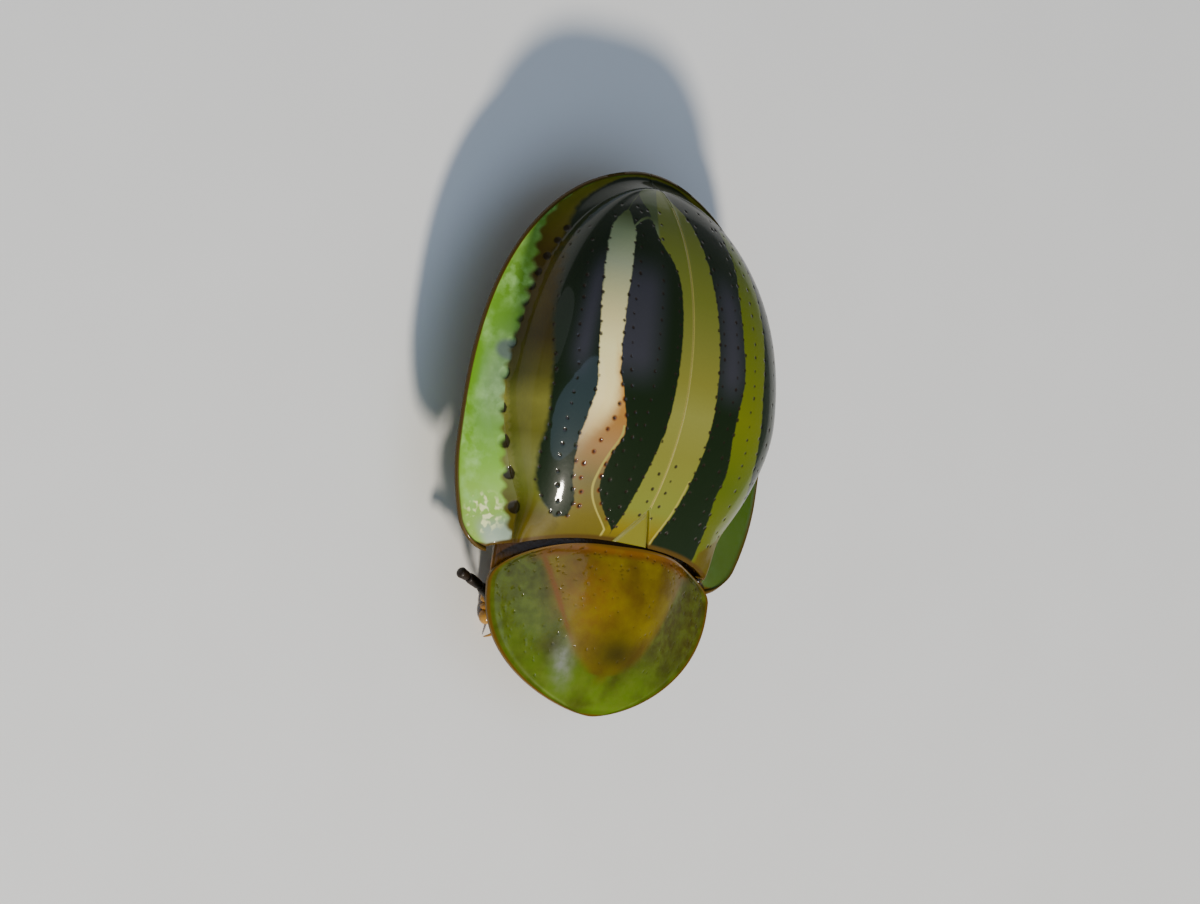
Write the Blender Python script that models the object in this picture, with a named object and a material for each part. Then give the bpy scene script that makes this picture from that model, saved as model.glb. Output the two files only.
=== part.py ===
"""A striped tortoise beetle at life size, standing on its six feet with its antennae swept back.

The beetle faces -Y, with its head turned a little to its left. Its left side is +X and up is +Z. The origin is on the floor below the
middle of its box. Sizes below are in millimetres, and each mesh is scaled to metres as its
node is made.
"""

import math

import bmesh
import bpy
from mathutils import Matrix, Vector

MM = 0.001

# Joints under the shield keep the wider gap. The seams of the shield's own plates and the eyes
# are finer, because the eye is thinner than the wide gap.
GAP = 0.3
SEAM = 0.12

# Overall plan
BODY_LENGTH = 7.0
FRONT_Y = -BODY_LENGTH / 2
APEX_Y = BODY_LENGTH / 2
ELYTRA_BASE_Y = -1.27
ELYTRA_HALF_WIDTH = 2.52
WIDEST_Y = -0.3

# Heights above the floor
EDGE_Z = 1.28
DISC_EDGE_Z = 1.48
DOME_RISE = 1.15
SHELL_THICKNESS = 0.45
RIM_THICKNESS = 0.22
VENTER_Z = 0.95

# Elytra: the flat rim round the dome, the forward shoulders and the dome's sections
SHOULDER_REACH = 0.34
SHOULDER_X = 1.85
SHOULDER_POWER = 2.6
SHOULDER_ROUND = 0.32
SHOULDER_NARROWING = 0.137
RIM_WIDTH_APEX = 0.17
RIM_WIDTH_MIDDLE = 0.42
RIM_WIDTH_SHOULDER = 0.93
RIM_TUCK = 0.32
RIM_TUCK_FROM_Y = -0.85
OUTLINE_POWER = 2.7
OUTLINE_ROOT = 1.85
DOME_PEAK_Y = 0.78
DOME_BASE_SHARE = 0.38
DOME_SIDE_POWER = 3.0
DOME_SIDE_ROOT = 0.33
DOME_BACK_POWER = 2.1
DOME_BACK_ROOT = 0.75

# Scutellum: the small triangle between the elytra at their base
SCUTELLUM_HALF_WIDTH = 0.3
SCUTELLUM_LENGTH = 0.46

# Pronotum: the shield over the head, with its own low dome
PRONOTUM_BASE_Y = ELYTRA_BASE_Y - SEAM
PRONOTUM_HALF_WIDTH = 1.85
PRONOTUM_WIDEST_Y = -1.92
PRONOTUM_BASE_POWER = 2.2
PRONOTUM_BASE_ROOT = 2.6
PRONOTUM_FRONT_POWER = 2.33
PRONOTUM_FRONT_ROOT = 1.5
PRONOTUM_EDGE_Z = 1.32
PRONOTUM_RISE = 0.6
PRONOTUM_DOME_HALF_WIDTH = 1.3
PRONOTUM_DOME_LENGTH = 1.65
PRONOTUM_THICKNESS = 0.42

# The shield and the head under it turn together, about the middle of the shield's base
HEAD_TURN = math.radians(4)
NECK = Vector((0, PRONOTUM_BASE_Y, 0))

# Body under the shield
BODY_SIDE_Z = 1.1
HEAD_CENTRE = Vector((0, -2.5, 0.7))
HEAD_HALF = Vector((0.58, 0.36, 0.37))
EYE_CENTRE = Vector((0.5, -2.55, 0.76))
EYE_HALF = Vector((0.16, 0.19, 0.25))
PROTHORAX_FRONT_Y = HEAD_CENTRE.y + HEAD_HALF.y + GAP
PROTHORAX_LENGTH = 0.55
PROTHORAX_HALF_WIDTH = 1.25
THORAX_FRONT_Y = PROTHORAX_FRONT_Y + PROTHORAX_LENGTH + GAP
THORAX_LENGTH = 1.75
ABDOMEN_FRONT_Y = THORAX_FRONT_Y + THORAX_LENGTH + GAP
ABDOMEN_END_Y = APEX_Y - RIM_WIDTH_APEX - SHELL_THICKNESS - GAP
VENTRITES = 5

# Limbs, as thick as a beetle of this size allows
COXA_RADIUS = 0.25
FEMUR_RADIUS = 0.27
TIBIA_RADIUS = 0.25
KNEE_Z = 0.42
ANKLE_Z = 0.22
FOOT_HALF_HEIGHT = 0.13
FOOT_HALF_WIDTH = 0.2
CLAW_LENGTH = 0.2
ANTENNA_RADIUS = 0.2
CLUB_RADIUS = 0.22
ANTENNA_SEGMENTS = 11

COLOURS = {
    "elytra": ((0.05, 0.045, 0.02), 0.25),
    "pronotum": ((0.35, 0.2, 0.03), 0.3),
    "body": ((0.06, 0.04, 0.02), 0.45),
    "legs": ((0.45, 0.25, 0.06), 0.4),
    "antennae": ((0.06, 0.05, 0.04), 0.5),
    "eyes": ((0.01, 0.01, 0.01), 0.15),
}


def material(slot):
    """The material of one finish."""
    colour, roughness = COLOURS[slot]
    made = bpy.data.materials.get(slot) or bpy.data.materials.new(slot)
    made.use_nodes = True
    shader = made.node_tree.nodes["Principled BSDF"]
    shader.inputs["Base Color"].default_value = (*colour, 1)
    shader.inputs["Roughness"].default_value = roughness
    shader.inputs["Metallic"].default_value = 0
    return made


def node(name, shape, slot):
    """Turns a bmesh in millimetres into a named object in metres."""
    bmesh.ops.triangulate(shape, faces=shape.faces[:])
    bmesh.ops.recalc_face_normals(shape, faces=shape.faces[:])
    bmesh.ops.scale(shape, vec=(MM, MM, MM), verts=shape.verts[:])
    mesh = bpy.data.meshes.new(name)
    shape.to_mesh(mesh)
    shape.free()
    mesh.shade_smooth()
    mesh.materials.append(material(slot))
    made = bpy.data.objects.new(name, mesh)
    bpy.context.scene.collection.objects.link(made)
    return made


def applied(target, modifier):
    """Applies a modifier of target to its mesh."""
    bpy.context.view_layer.update()
    graph = bpy.context.evaluated_depsgraph_get()
    mesh = bpy.data.meshes.new_from_object(target.evaluated_get(graph))
    target.modifiers.remove(modifier)
    target.data = mesh


def joined(name, shapes, slot):
    """One node made of several closed shapes by a Boolean union."""
    target = node(name, shapes[0], slot)
    others = bpy.data.collections.new(name + "_pieces")
    bpy.context.scene.collection.children.link(others)
    for count, shape in enumerate(shapes[1:]):
        piece = node(f"{name}_piece_{count}", shape, slot)
        bpy.context.scene.collection.objects.unlink(piece)
        others.objects.link(piece)
    union = target.modifiers.new("union", "BOOLEAN")
    union.operation = "UNION"
    union.solver = "EXACT"
    union.operand_type = "COLLECTION"
    union.collection = others
    applied(target, union)
    for piece in list(others.objects):
        bpy.data.objects.remove(piece)
    bpy.data.collections.remove(others)
    keep_largest(target)
    return target


def cut(target, shape):
    """Takes a closed shape out of a node."""
    cutter = node(target.name + "_cutter", shape, "body")
    cutter.hide_render = True
    cutter.display_type = "WIRE"
    difference = target.modifiers.new("difference", "BOOLEAN")
    difference.operation = "DIFFERENCE"
    difference.solver = "EXACT"
    difference.object = cutter
    applied(target, difference)
    bpy.data.objects.remove(cutter)
    keep_largest(target)


def keep_largest(target):
    """Leaves a node only the largest of its closed surfaces."""
    shape = bmesh.new()
    shape.from_mesh(target.data)
    left = set(shape.verts)
    groups = []
    while left:
        group = {left.pop()}
        edge = list(group)
        while edge:
            vert = edge.pop()
            for link in vert.link_edges:
                other = link.other_vert(vert)
                if other in left:
                    left.remove(other)
                    group.add(other)
                    edge.append(other)
        groups.append(group)
    groups.sort(key=len)
    for group in groups[:-1]:
        bmesh.ops.delete(shape, geom=list(group), context="VERTS")
    shape.to_mesh(target.data)
    shape.free()


def floor_cut(target):
    """Cuts a node flat at the floor, so that it stands on level flats."""
    shape = bmesh.new()
    shape.from_mesh(target.data)
    everything = shape.verts[:] + shape.edges[:] + shape.faces[:]
    bmesh.ops.bisect_plane(
        shape, geom=everything, plane_co=(0, 0, 0), plane_no=(0, 0, 1), clear_inner=True
    )
    bmesh.ops.holes_fill(shape, edges=[edge for edge in shape.edges if edge.is_boundary])
    bmesh.ops.triangulate(shape, faces=shape.faces[:])
    shape.to_mesh(target.data)
    shape.free()


def ellipsoid(centre, half, columns=14, rows=9, turn=None):
    """A closed ellipsoid, with its poles along its own Z."""
    shape = bmesh.new()
    bmesh.ops.create_uvsphere(shape, u_segments=columns, v_segments=rows, radius=1)
    bmesh.ops.scale(shape, vec=half, verts=shape.verts[:])
    if turn is not None:
        bmesh.ops.transform(shape, matrix=turn.to_4x4(), verts=shape.verts[:])
    bmesh.ops.translate(shape, vec=centre, verts=shape.verts[:])
    return shape


def spindle(start, end, radii, columns=12):
    """A closed limb segment from start to end, with a radius at each even step along it."""
    axis = Vector(end) - Vector(start)
    turn = axis.to_track_quat("Z", "Y").to_matrix()
    last = len(radii) - 1
    rings = []
    for step, radius in enumerate(radii):
        centre = Vector(start) + axis * (step / last)
        rings.append(
            [
                centre + turn @ (Vector((math.cos(a), math.sin(a), 0)) * radius)
                for a in (2 * math.pi * k / columns for k in range(columns))
            ]
        )
    return loft(rings)


def loft(rings):
    """A closed shape through rings of points, with a fan over each end."""
    shape = bmesh.new()
    laid = [[shape.verts.new(point) for point in ring] for ring in rings]
    count = len(rings[0])
    for first, second in zip(laid, laid[1:]):
        for k in range(count):
            after = (k + 1) % count
            shape.faces.new((first[k], first[after], second[after], second[k]))
    for ring in (laid[0], laid[-1]):
        middle = shape.verts.new(sum((vert.co for vert in ring), Vector()) / count)
        for k in range(count):
            shape.faces.new((ring[k], ring[(k + 1) % count], middle))
    bmesh.ops.recalc_face_normals(shape, faces=shape.faces[:])
    return shape


def slab(columns, rows, top, under):
    """A closed plate: a grid laid on under(u, v) with a copy of it raised to top(u, v).

    u and v run from 0 to 1. Both faces are split into the same triangles.
    """
    shape = bmesh.new()
    bmesh.ops.create_grid(shape, x_segments=columns, y_segments=rows, size=0.5)
    bmesh.ops.triangulate(shape, faces=shape.faces[:], quad_method="ALTERNATE")
    raised = bmesh.ops.extrude_face_region(shape, geom=shape.faces[:], use_keep_orig=True)
    upper = {item for item in raised["geom"] if isinstance(item, bmesh.types.BMVert)}
    for vert in shape.verts:
        u, v = vert.co.x + 0.5, vert.co.y + 0.5
        vert.co = top(u, v) if vert in upper else under(u, v)
    bmesh.ops.remove_doubles(shape, verts=shape.verts[:], dist=1e-4)
    bmesh.ops.dissolve_degenerate(shape, edges=shape.edges[:], dist=1e-4)
    return shape


def turned(shape):
    """Turns a shape with the head, and gives it back."""
    turn = Matrix.Rotation(HEAD_TURN, 3, "Z")
    bmesh.ops.rotate(shape, cent=NECK, matrix=turn, verts=shape.verts[:])
    return shape


def mix(a, b, share):
    """The value a share of the way from a to b."""
    return a + (b - a) * share


def eased(share):
    """A share that gathers rows towards both ends."""
    return (1 - math.cos(math.pi * share)) / 2


def smooth_step(low, high, value):
    """0 below low, 1 above high and smooth between."""
    t = min(max((value - low) / (high - low), 0), 1)
    return t * t * (3 - 2 * t)


# Elytra


def outline_half_width(y, end=APEX_Y, width=ELYTRA_HALF_WIDTH):
    """Half the elytra's width at y, to an outline that closes at end."""
    if y > WIDEST_Y:
        share = min((y - WIDEST_Y) / (end - WIDEST_Y), 1)
        return width * (1 - share**OUTLINE_POWER) ** (1 / OUTLINE_ROOT)
    forward = (WIDEST_Y - y) / (WIDEST_Y - ELYTRA_BASE_Y + SHOULDER_REACH)
    return width * (1 - SHOULDER_NARROWING * forward**2)


def shoulder_y():
    """The foremost point of the elytra."""
    return ELYTRA_BASE_Y - SHOULDER_REACH


def edge_half_width(y):
    """Half the width of the elytra's outer edge, with the rounded shoulder."""
    into = SHOULDER_ROUND - (y - shoulder_y())
    lost = 0
    if into > 0:
        lost = SHOULDER_ROUND - math.sqrt(max(SHOULDER_ROUND**2 - into**2, 0))
    return outline_half_width(y) - lost


def disc_half_width(y, inset=0):
    """Half the width of the dome inside the rim, or of a smaller dome inside it by inset."""
    rim = mix(RIM_WIDTH_MIDDLE, RIM_WIDTH_SHOULDER, smooth_step(0.6, shoulder_y(), y))
    rim -= RIM_TUCK * smooth_step(RIM_TUCK_FROM_Y, shoulder_y(), y)
    end = APEX_Y - RIM_WIDTH_APEX - inset
    width = ELYTRA_HALF_WIDTH - RIM_WIDTH_MIDDLE
    if y > WIDEST_Y:
        rim_change = rim - RIM_WIDTH_MIDDLE
        return max(outline_half_width(min(y, end), end, width - inset) - rim_change, 0)
    return outline_half_width(y) - rim - inset


def dome_z(x, y, inset=0):
    """Height of the dome over the plan point, or of the smaller dome inside it."""
    end = APEX_Y - RIM_WIDTH_APEX - inset
    if y > DOME_PEAK_Y:
        share = min((y - DOME_PEAK_Y) / (end - DOME_PEAK_Y), 1)
        along = (1 - share**DOME_BACK_POWER) ** DOME_BACK_ROOT
    else:
        share = (DOME_PEAK_Y - y) / (DOME_PEAK_Y - ELYTRA_BASE_Y)
        along = 1 - (1 - DOME_BASE_SHARE) * share**2
    width = disc_half_width(y, inset)
    across = 0
    if width > 1e-6:
        reach = min(abs(x) / width, 1)
        across = (1 - reach**DOME_SIDE_POWER) ** DOME_SIDE_ROOT
    return DISC_EDGE_Z + (DOME_RISE * along - inset) * across - inset * (1 - across)


def bend(x):
    """How far the elytra's front edge runs forward at x, towards the shoulder."""
    return -SHOULDER_REACH * min(abs(x) / SHOULDER_X, 1) ** SHOULDER_POWER


def scutellum_half_width(y, margin=0):
    """Half the width of the scutellum at y, grown by a margin."""
    share = (y - ELYTRA_BASE_Y) / (SCUTELLUM_LENGTH + margin)
    return (SCUTELLUM_HALF_WIDTH + margin) * max(1 - max(share, 0), 0)


def suture_x(y):
    """The inner edge of an elytron: along the suture, and round the scutellum."""
    return max(SEAM / 2, scutellum_half_width(y, SEAM))


def elytron_point(u, v, inset):
    """Plan point of an elytron: u runs from suture to edge, v from base to apex.

    The third value is 0 on the dome and grows to 1 over the rim.
    """
    disc_share = 0.72
    along = eased(v)
    fade = (1 - along) ** 3
    disc_end = APEX_Y - RIM_WIDTH_APEX - inset
    line_y = mix(ELYTRA_BASE_Y, disc_end, along)
    disc_y = line_y + fade * bend(disc_half_width(ELYTRA_BASE_Y, inset))
    disc_x = disc_half_width(disc_y, inset)
    if u <= disc_share:
        inner = suture_x(line_y)
        x = mix(inner, max(disc_x, inner), u / disc_share)
        return x, line_y + fade * bend(x), 0
    share = (u - disc_share) / (1 - disc_share)
    edge_line_y = mix(ELYTRA_BASE_Y, APEX_Y, along)
    edge_x = edge_half_width(edge_line_y - fade * SHOULDER_REACH)
    x = max(mix(disc_x, edge_x, share), suture_x(edge_line_y))
    return x, mix(line_y, edge_line_y, share) + fade * bend(x), share


def elytron_top(x, y, rim):
    """Height of an elytron's outer face."""
    return mix(DISC_EDGE_Z, EDGE_Z, rim) if rim else dome_z(x, y)


def elytron_under(x, y, rim):
    """Height of an elytron's inner face."""
    if rim:
        return mix(DISC_EDGE_Z - SHELL_THICKNESS, EDGE_Z - RIM_THICKNESS, rim)
    return dome_z(x, y, SHELL_THICKNESS)


def elytron(side):
    """One wing case: a half dome with a flat rim, parted from the other along the suture."""

    def top(u, v):
        x, y, rim = elytron_point(u, v, 0)
        return Vector((side * x, y, elytron_top(x, y, rim)))

    def under(u, v):
        x, y, rim = elytron_point(u, v, SHELL_THICKNESS)
        return Vector((side * x, y, elytron_under(x, y, rim)))

    name = "elytron_left" if side > 0 else "elytron_right"
    return node(name, slab(18, 26, top, under), "elytra")


def scutellum():
    """The small triangular plate between the elytra, flush with them."""

    def point(u, v, drop):
        y = ELYTRA_BASE_Y + SCUTELLUM_LENGTH * v * 0.96
        x = scutellum_half_width(y) * (2 * u - 1)
        return Vector((x, y, dome_z(x, y) - drop))

    shape = slab(6, 5, lambda u, v: point(u, v, 0), lambda u, v: point(u, v, SHELL_THICKNESS))
    return node("scutellum", shape, "elytra")


# Pronotum


def pronotum_half_width(y):
    """Half the width of the pronotum at y."""
    if y > PRONOTUM_WIDEST_Y:
        share = min((y - PRONOTUM_WIDEST_Y) / (PRONOTUM_BASE_Y - PRONOTUM_WIDEST_Y), 1)
        return PRONOTUM_HALF_WIDTH * (1 - share**PRONOTUM_BASE_POWER) ** (1 / PRONOTUM_BASE_ROOT)
    share = min((PRONOTUM_WIDEST_Y - y) / (PRONOTUM_WIDEST_Y - FRONT_Y), 1)
    return PRONOTUM_HALF_WIDTH * (1 - share**PRONOTUM_FRONT_POWER) ** (1 / PRONOTUM_FRONT_ROOT)


def pronotum_bump(x, y):
    """How much of the pronotum's dome stands over the plan point, from 0 to 1."""
    along = (PRONOTUM_BASE_Y - y) / PRONOTUM_DOME_LENGTH
    across = x / PRONOTUM_DOME_HALF_WIDTH
    reach = math.hypot(along, across)
    return 1 / (1 + (1.05 * reach) ** 4)


def pronotum_top(x, y):
    """Height of the pronotum's outer face."""
    return PRONOTUM_EDGE_Z + PRONOTUM_RISE * pronotum_bump(x, y)


def pronotum_under(x, y):
    """Height of the pronotum's inner face."""
    bump = pronotum_bump(x, y)
    return pronotum_top(x, y) - mix(RIM_THICKNESS, PRONOTUM_THICKNESS, min(2 * bump, 1))


def pronotum():
    """The shield over the head, which ends in a thin edge all round."""

    def point(u, v, height):
        y = mix(FRONT_Y, PRONOTUM_BASE_Y, eased(v))
        x = pronotum_half_width(y) * math.sin((u - 0.5) * math.pi)
        y += max(y - PRONOTUM_WIDEST_Y, 0) * bend(x)
        return Vector((x, y, height(x, y)))

    shape = slab(
        26, 20, lambda u, v: point(u, v, pronotum_top), lambda u, v: point(u, v, pronotum_under)
    )
    return node("pronotum", turned(shape), "pronotum")


# Body under the shield


def body_ring(y, half_width, roof, lift=0, columns=28):
    """A ring of the trunk: a rounded roof over its sides and a flatter underside."""
    ring = []
    for k in range(columns):
        angle = 2 * math.pi * k / columns
        across, up = math.cos(angle), math.sin(angle)
        x = half_width * math.copysign(abs(across) ** 0.75, across)
        if up >= 0:
            z = mix(BODY_SIDE_Z, max(roof(x, y), BODY_SIDE_Z + 0.02), up**0.8)
        else:
            z = mix(BODY_SIDE_Z, VENTER_Z + lift, abs(up) ** 0.6)
        ring.append(Vector((x, y, z)))
    return ring


def under_shell_half_width(y):
    """Half the width of the trunk where the elytra close round it."""
    return max(disc_half_width(y, SHELL_THICKNESS) - GAP, 0.25)


def under_elytra(x, y):
    """The highest that the trunk may reach under the elytra."""
    return dome_z(x, y, SHELL_THICKNESS) - GAP


def under_pronotum(x, y):
    """The highest that the prothorax may reach under the pronotum."""
    return pronotum_under(x, y) - GAP


def trunk(name, front, length, half_width, roof, bands, round_share):
    """A piece of the trunk from front to back, with shallow grooves between its plates."""
    rings = []
    steps = 4 * bands
    for step in range(steps + 1):
        share = step / steps
        y = front + length * share
        end = abs(2 * share - 1)
        narrow = 1 - round_share * end**6
        groove = 0.05 if step % 4 == 0 else 0
        rings.append(body_ring(y, half_width(y) * narrow - groove, roof, lift=groove))
    return node(name, loft(rings), "body")


def prothorax():
    """The neck ring under the pronotum, which carries the forelegs."""
    return trunk(
        "prothorax",
        PROTHORAX_FRONT_Y,
        PROTHORAX_LENGTH,
        lambda y: PROTHORAX_HALF_WIDTH,
        under_pronotum,
        1,
        0.15,
    )


def thorax():
    """The trunk under the front of the elytra, which carries the middle and hind legs."""
    return trunk(
        "thorax",
        THORAX_FRONT_Y,
        THORAX_LENGTH,
        under_shell_half_width,
        under_elytra,
        2,
        0.12,
    )


def abdomen():
    """The hind trunk, with a band for each of its plates."""
    return trunk(
        "abdomen",
        ABDOMEN_FRONT_Y,
        ABDOMEN_END_Y - ABDOMEN_FRONT_Y,
        under_shell_half_width,
        under_elytra,
        VENTRITES,
        0.05,
    )


# Head


def eye_shape(side, margin=0):
    """An oval eye at the side of the head, grown by a margin for its socket."""
    centre = Vector((side * EYE_CENTRE.x, EYE_CENTRE.y, EYE_CENTRE.z))
    half = EYE_HALF + Vector((margin, margin, margin))
    return ellipsoid(centre, half, 12, 10)


def head():
    """The head under the pronotum, with its face, lip, jaws and feeler sockets."""
    face_y = HEAD_CENTRE.y - HEAD_HALF.y
    mouth_z = HEAD_CENTRE.z - HEAD_HALF.z
    shapes = [ellipsoid(HEAD_CENTRE, HEAD_HALF, 24, 16)]
    shapes.append(
        ellipsoid(Vector((0, face_y + 0.12, HEAD_CENTRE.z - 0.12)), Vector((0.22, 0.1, 0.2)), 14, 9)
    )
    shapes.append(
        ellipsoid(Vector((0, face_y + 0.14, mouth_z + 0.08)), Vector((0.2, 0.11, 0.08)), 12, 8)
    )
    for side in (-1, 1):
        root = Vector((side * 0.17, face_y + 0.18, mouth_z + 0.06))
        tip = Vector((side * 0.03, face_y + 0.12, mouth_z - 0.08))
        shapes.append(spindle(root, tip, (0.09, 0.08, 0.05, 0.02), 8))
        palp_root = Vector((side * 0.26, face_y + 0.24, mouth_z + 0.07))
        palp_tip = Vector((side * 0.36, face_y + 0.05, mouth_z - 0.03))
        shapes.append(spindle(palp_root, palp_tip, (0.06, 0.06, 0.07, 0.03), 8))
    made = joined("head", [turned(shape) for shape in shapes], "body")
    for side in (-1, 1):
        cut(made, turned(eye_shape(side, SEAM)))
    return made


def eyes():
    """Both eyes, each in its socket."""
    for side, name in ((-1, "eye_right"), (1, "eye_left")):
        node(name, turned(eye_shape(side)), "eyes")


# Limbs


def curve_point(points, share):
    """A point on a smooth line through evenly spaced points, at a share of its length."""
    spans = len(points) - 1
    place = min(share * spans, spans - 1e-9)
    k = int(place)
    t = place - k
    before = points[max(k - 1, 0)]
    start, end = points[k], points[k + 1]
    after = points[min(k + 2, spans)]
    leave, arrive = (end - before) / 2, (after - start) / 2
    return (
        start * (2 * t**3 - 3 * t**2 + 1)
        + leave * (t**3 - 2 * t**2 + t)
        + end * (3 * t**2 - 2 * t**3)
        + arrive * (t**3 - t**2)
    )


def antenna(name, side, points):
    """A feeler of eleven segments, which ends in a darker, thicker club."""
    placed = [Vector((side * x, y, z)) for x, y, z in points]
    shapes = []
    for k in range(ANTENNA_SEGMENTS):
        start = curve_point(placed, k / ANTENNA_SEGMENTS)
        end = curve_point(placed, (k + 1) / ANTENNA_SEGMENTS)
        over = (end - start) * 0.16
        club = k >= ANTENNA_SEGMENTS - 5
        radius = CLUB_RADIUS if club else ANTENNA_RADIUS
        taper = 1 if k < ANTENNA_SEGMENTS - 2 else (0.85, 0.6)[k - ANTENNA_SEGMENTS + 2]
        neck = radius * 0.72 * taper
        tip = neck if k < ANTENNA_SEGMENTS - 1 else 0.06
        wide = radius * taper
        shapes.append(spindle(start - over, end + over, (neck, wide * 0.95, wide, tip), 10))
    return joined(name, [turned(shape) for shape in shapes], "antennae")


def leg(name, side, coxa, knee, ankle, toe):
    """A leg from its hip to its claws, each joint given by its plan point."""
    hip_top = VENTER_Z - GAP
    hip = Vector((side * coxa[0], coxa[1], hip_top - COXA_RADIUS))
    bent = Vector((side * knee[0], knee[1], KNEE_Z))
    heel = Vector((side * ankle[0], ankle[1], ANKLE_Z))
    end = Vector((side * toe[0], toe[1], FOOT_HALF_HEIGHT * 0.8))
    along = (end - heel).normalized()
    across = along.cross(Vector((0, 0, 1))).normalized()
    sole = FOOT_HALF_HEIGHT * 0.8
    shapes = [ellipsoid(hip, Vector((COXA_RADIUS, COXA_RADIUS, COXA_RADIUS)), 10, 7)]
    thick = FEMUR_RADIUS
    shapes.append(
        spindle(hip, bent, (thick * 0.6, thick * 0.9, thick, thick * 0.95, thick * 0.7, 0.1), 10)
    )
    thin = TIBIA_RADIUS
    shapes.append(spindle(bent, heel, (0.14, thin * 0.8, thin * 0.92, thin, thin * 0.75), 10))
    length = (end - heel).length
    for k, (start, stop, width) in enumerate(((-0.2, 0.36, 0.75), (0.3, 0.62, 0.85))):
        middle = heel + along * length * (start + stop) / 2
        middle.z = sole
        half = Vector((FOOT_HALF_WIDTH * width, length * (stop - start) * 0.62, FOOT_HALF_HEIGHT))
        turn = Vector((along.x, along.y, 0)).to_track_quat("Y", "Z").to_matrix()
        shapes.append(ellipsoid(middle, half, 9, 7, turn))
    for lobe in (-1, 1):
        middle = heel + along * length * 0.76 + across * lobe * FOOT_HALF_WIDTH * 0.5
        middle.z = sole
        half = Vector((FOOT_HALF_WIDTH * 0.6, length * 0.22, FOOT_HALF_HEIGHT))
        shapes.append(ellipsoid(middle, half, 9, 7, turn))
    wrist = heel + along * length * 0.7
    wrist.z = sole + 0.05
    knuckle = heel + along * length * 1.02
    knuckle.z = sole + 0.06
    shapes.append(spindle(wrist, knuckle, (0.07, 0.08, 0.08, 0.06), 6))
    for claw in (-1, 1):
        root = knuckle - along * 0.04
        tip = knuckle + along * CLAW_LENGTH * 0.7 + across * claw * CLAW_LENGTH * 0.5
        tip.z = 0.04
        shapes.append(spindle(root, tip, (0.05, 0.05, 0.035, 0.012), 5))
    made = joined(name, shapes, "legs")
    floor_cut(made)
    return made


def main():
    """Builds every node of the beetle."""
    for old in list(bpy.data.objects):
        bpy.data.objects.remove(old)
    for side in (-1, 1):
        elytron(side)
    scutellum()
    pronotum()
    prothorax()
    thorax()
    abdomen()
    head()
    eyes()
    feeler = (
        (0.28, -2.95, 0.74),
        (0.83, -2.84, 0.74),
        (1.14, -2.46, 0.76),
        (1.34, -2.05, 0.78),
        (1.85, -1.8, 0.8),
    )
    antenna("antenna_right", -1, feeler)
    antenna("antenna_left", 1, feeler)
    legs = (
        ("front", (0.42, -1.6), (0.84, -1.76), (0.76, -2.12), (0.66, -2.52)),
        ("middle", (0.5, -0.55), (1.15, -0.58), (1.14, -0.12), (1.02, 0.3)),
        ("hind", (0.45, 0.5), (1.02, 0.95), (1.06, 1.42), (0.92, 1.84)),
    )
    for place, coxa, knee, ankle, toe in legs:
        for side, name in ((-1, "right"), (1, "left")):
            leg(f"leg_{place}_{name}", side, coxa, knee, ankle, toe)


main()
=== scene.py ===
"""The looks of a striped tortoise beetle at life size.

Sizes are in millimetres on the beetle: +X is its left, +Y its tail and +Z up, with the floor at
zero. Every shape is scaled to metres once, as its piece is made.
"""

import logging
import math
import random
from dataclasses import dataclass
from enum import Enum
from typing import Callable, TypeVar

import bmesh
import bpy
from mathutils import Matrix, Vector
from mathutils.kdtree import KDTree

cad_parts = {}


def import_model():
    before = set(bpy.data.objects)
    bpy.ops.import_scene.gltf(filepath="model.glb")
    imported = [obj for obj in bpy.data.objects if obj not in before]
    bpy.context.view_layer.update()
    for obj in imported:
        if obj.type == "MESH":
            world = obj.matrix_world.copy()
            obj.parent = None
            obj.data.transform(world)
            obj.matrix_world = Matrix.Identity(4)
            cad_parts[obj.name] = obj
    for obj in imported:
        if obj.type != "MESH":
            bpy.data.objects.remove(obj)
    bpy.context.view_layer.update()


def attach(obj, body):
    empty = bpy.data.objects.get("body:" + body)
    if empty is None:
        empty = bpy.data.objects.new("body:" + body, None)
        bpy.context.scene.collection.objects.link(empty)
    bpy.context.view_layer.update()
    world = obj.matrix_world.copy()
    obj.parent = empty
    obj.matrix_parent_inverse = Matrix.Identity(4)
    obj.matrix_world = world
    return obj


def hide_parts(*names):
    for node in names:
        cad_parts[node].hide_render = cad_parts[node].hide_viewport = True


LOG = logging.getLogger("tortoise_beetle")
MM = 0.001
Colour = tuple[float, float, float, float]
Curve = tuple[tuple[float, float], ...]
Ramp = tuple[tuple[float, str], ...]
Line = tuple[tuple[float, float, float], ...]
Place = Callable[[float, float], Vector]
Spot = tuple[Vector, float]
Knot = TypeVar("Knot", float, Vector)
Started = tuple[
    bpy.types.Material,
    bpy.types.NodeTree,
    bpy.types.Node,
    bpy.types.NodeSocket,
    dict[str, bpy.types.NodeSocket],
]


class Side(Enum):
    """A side of the beetle, with the sign of its X."""

    RIGHT = -1
    LEFT = 1

    @property
    def word(self) -> str:
        """The side's name as the nodes spell it."""
        return self.name.lower()


class Pair(Enum):
    """A pair of legs, with the X and Y of its hip, knee, ankle and toe on the left."""

    FRONT = ((0.42, -1.6), (0.82, -1.76), (0.7, -2.12), (0.58, -2.48))
    MIDDLE = ((0.5, -0.55), (1.15, -0.58), (1.14, -0.12), (1.02, 0.3))
    HIND = ((0.45, 0.5), (1.02, 0.95), (1.06, 1.42), (0.92, 1.84))


# Numbers


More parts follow.
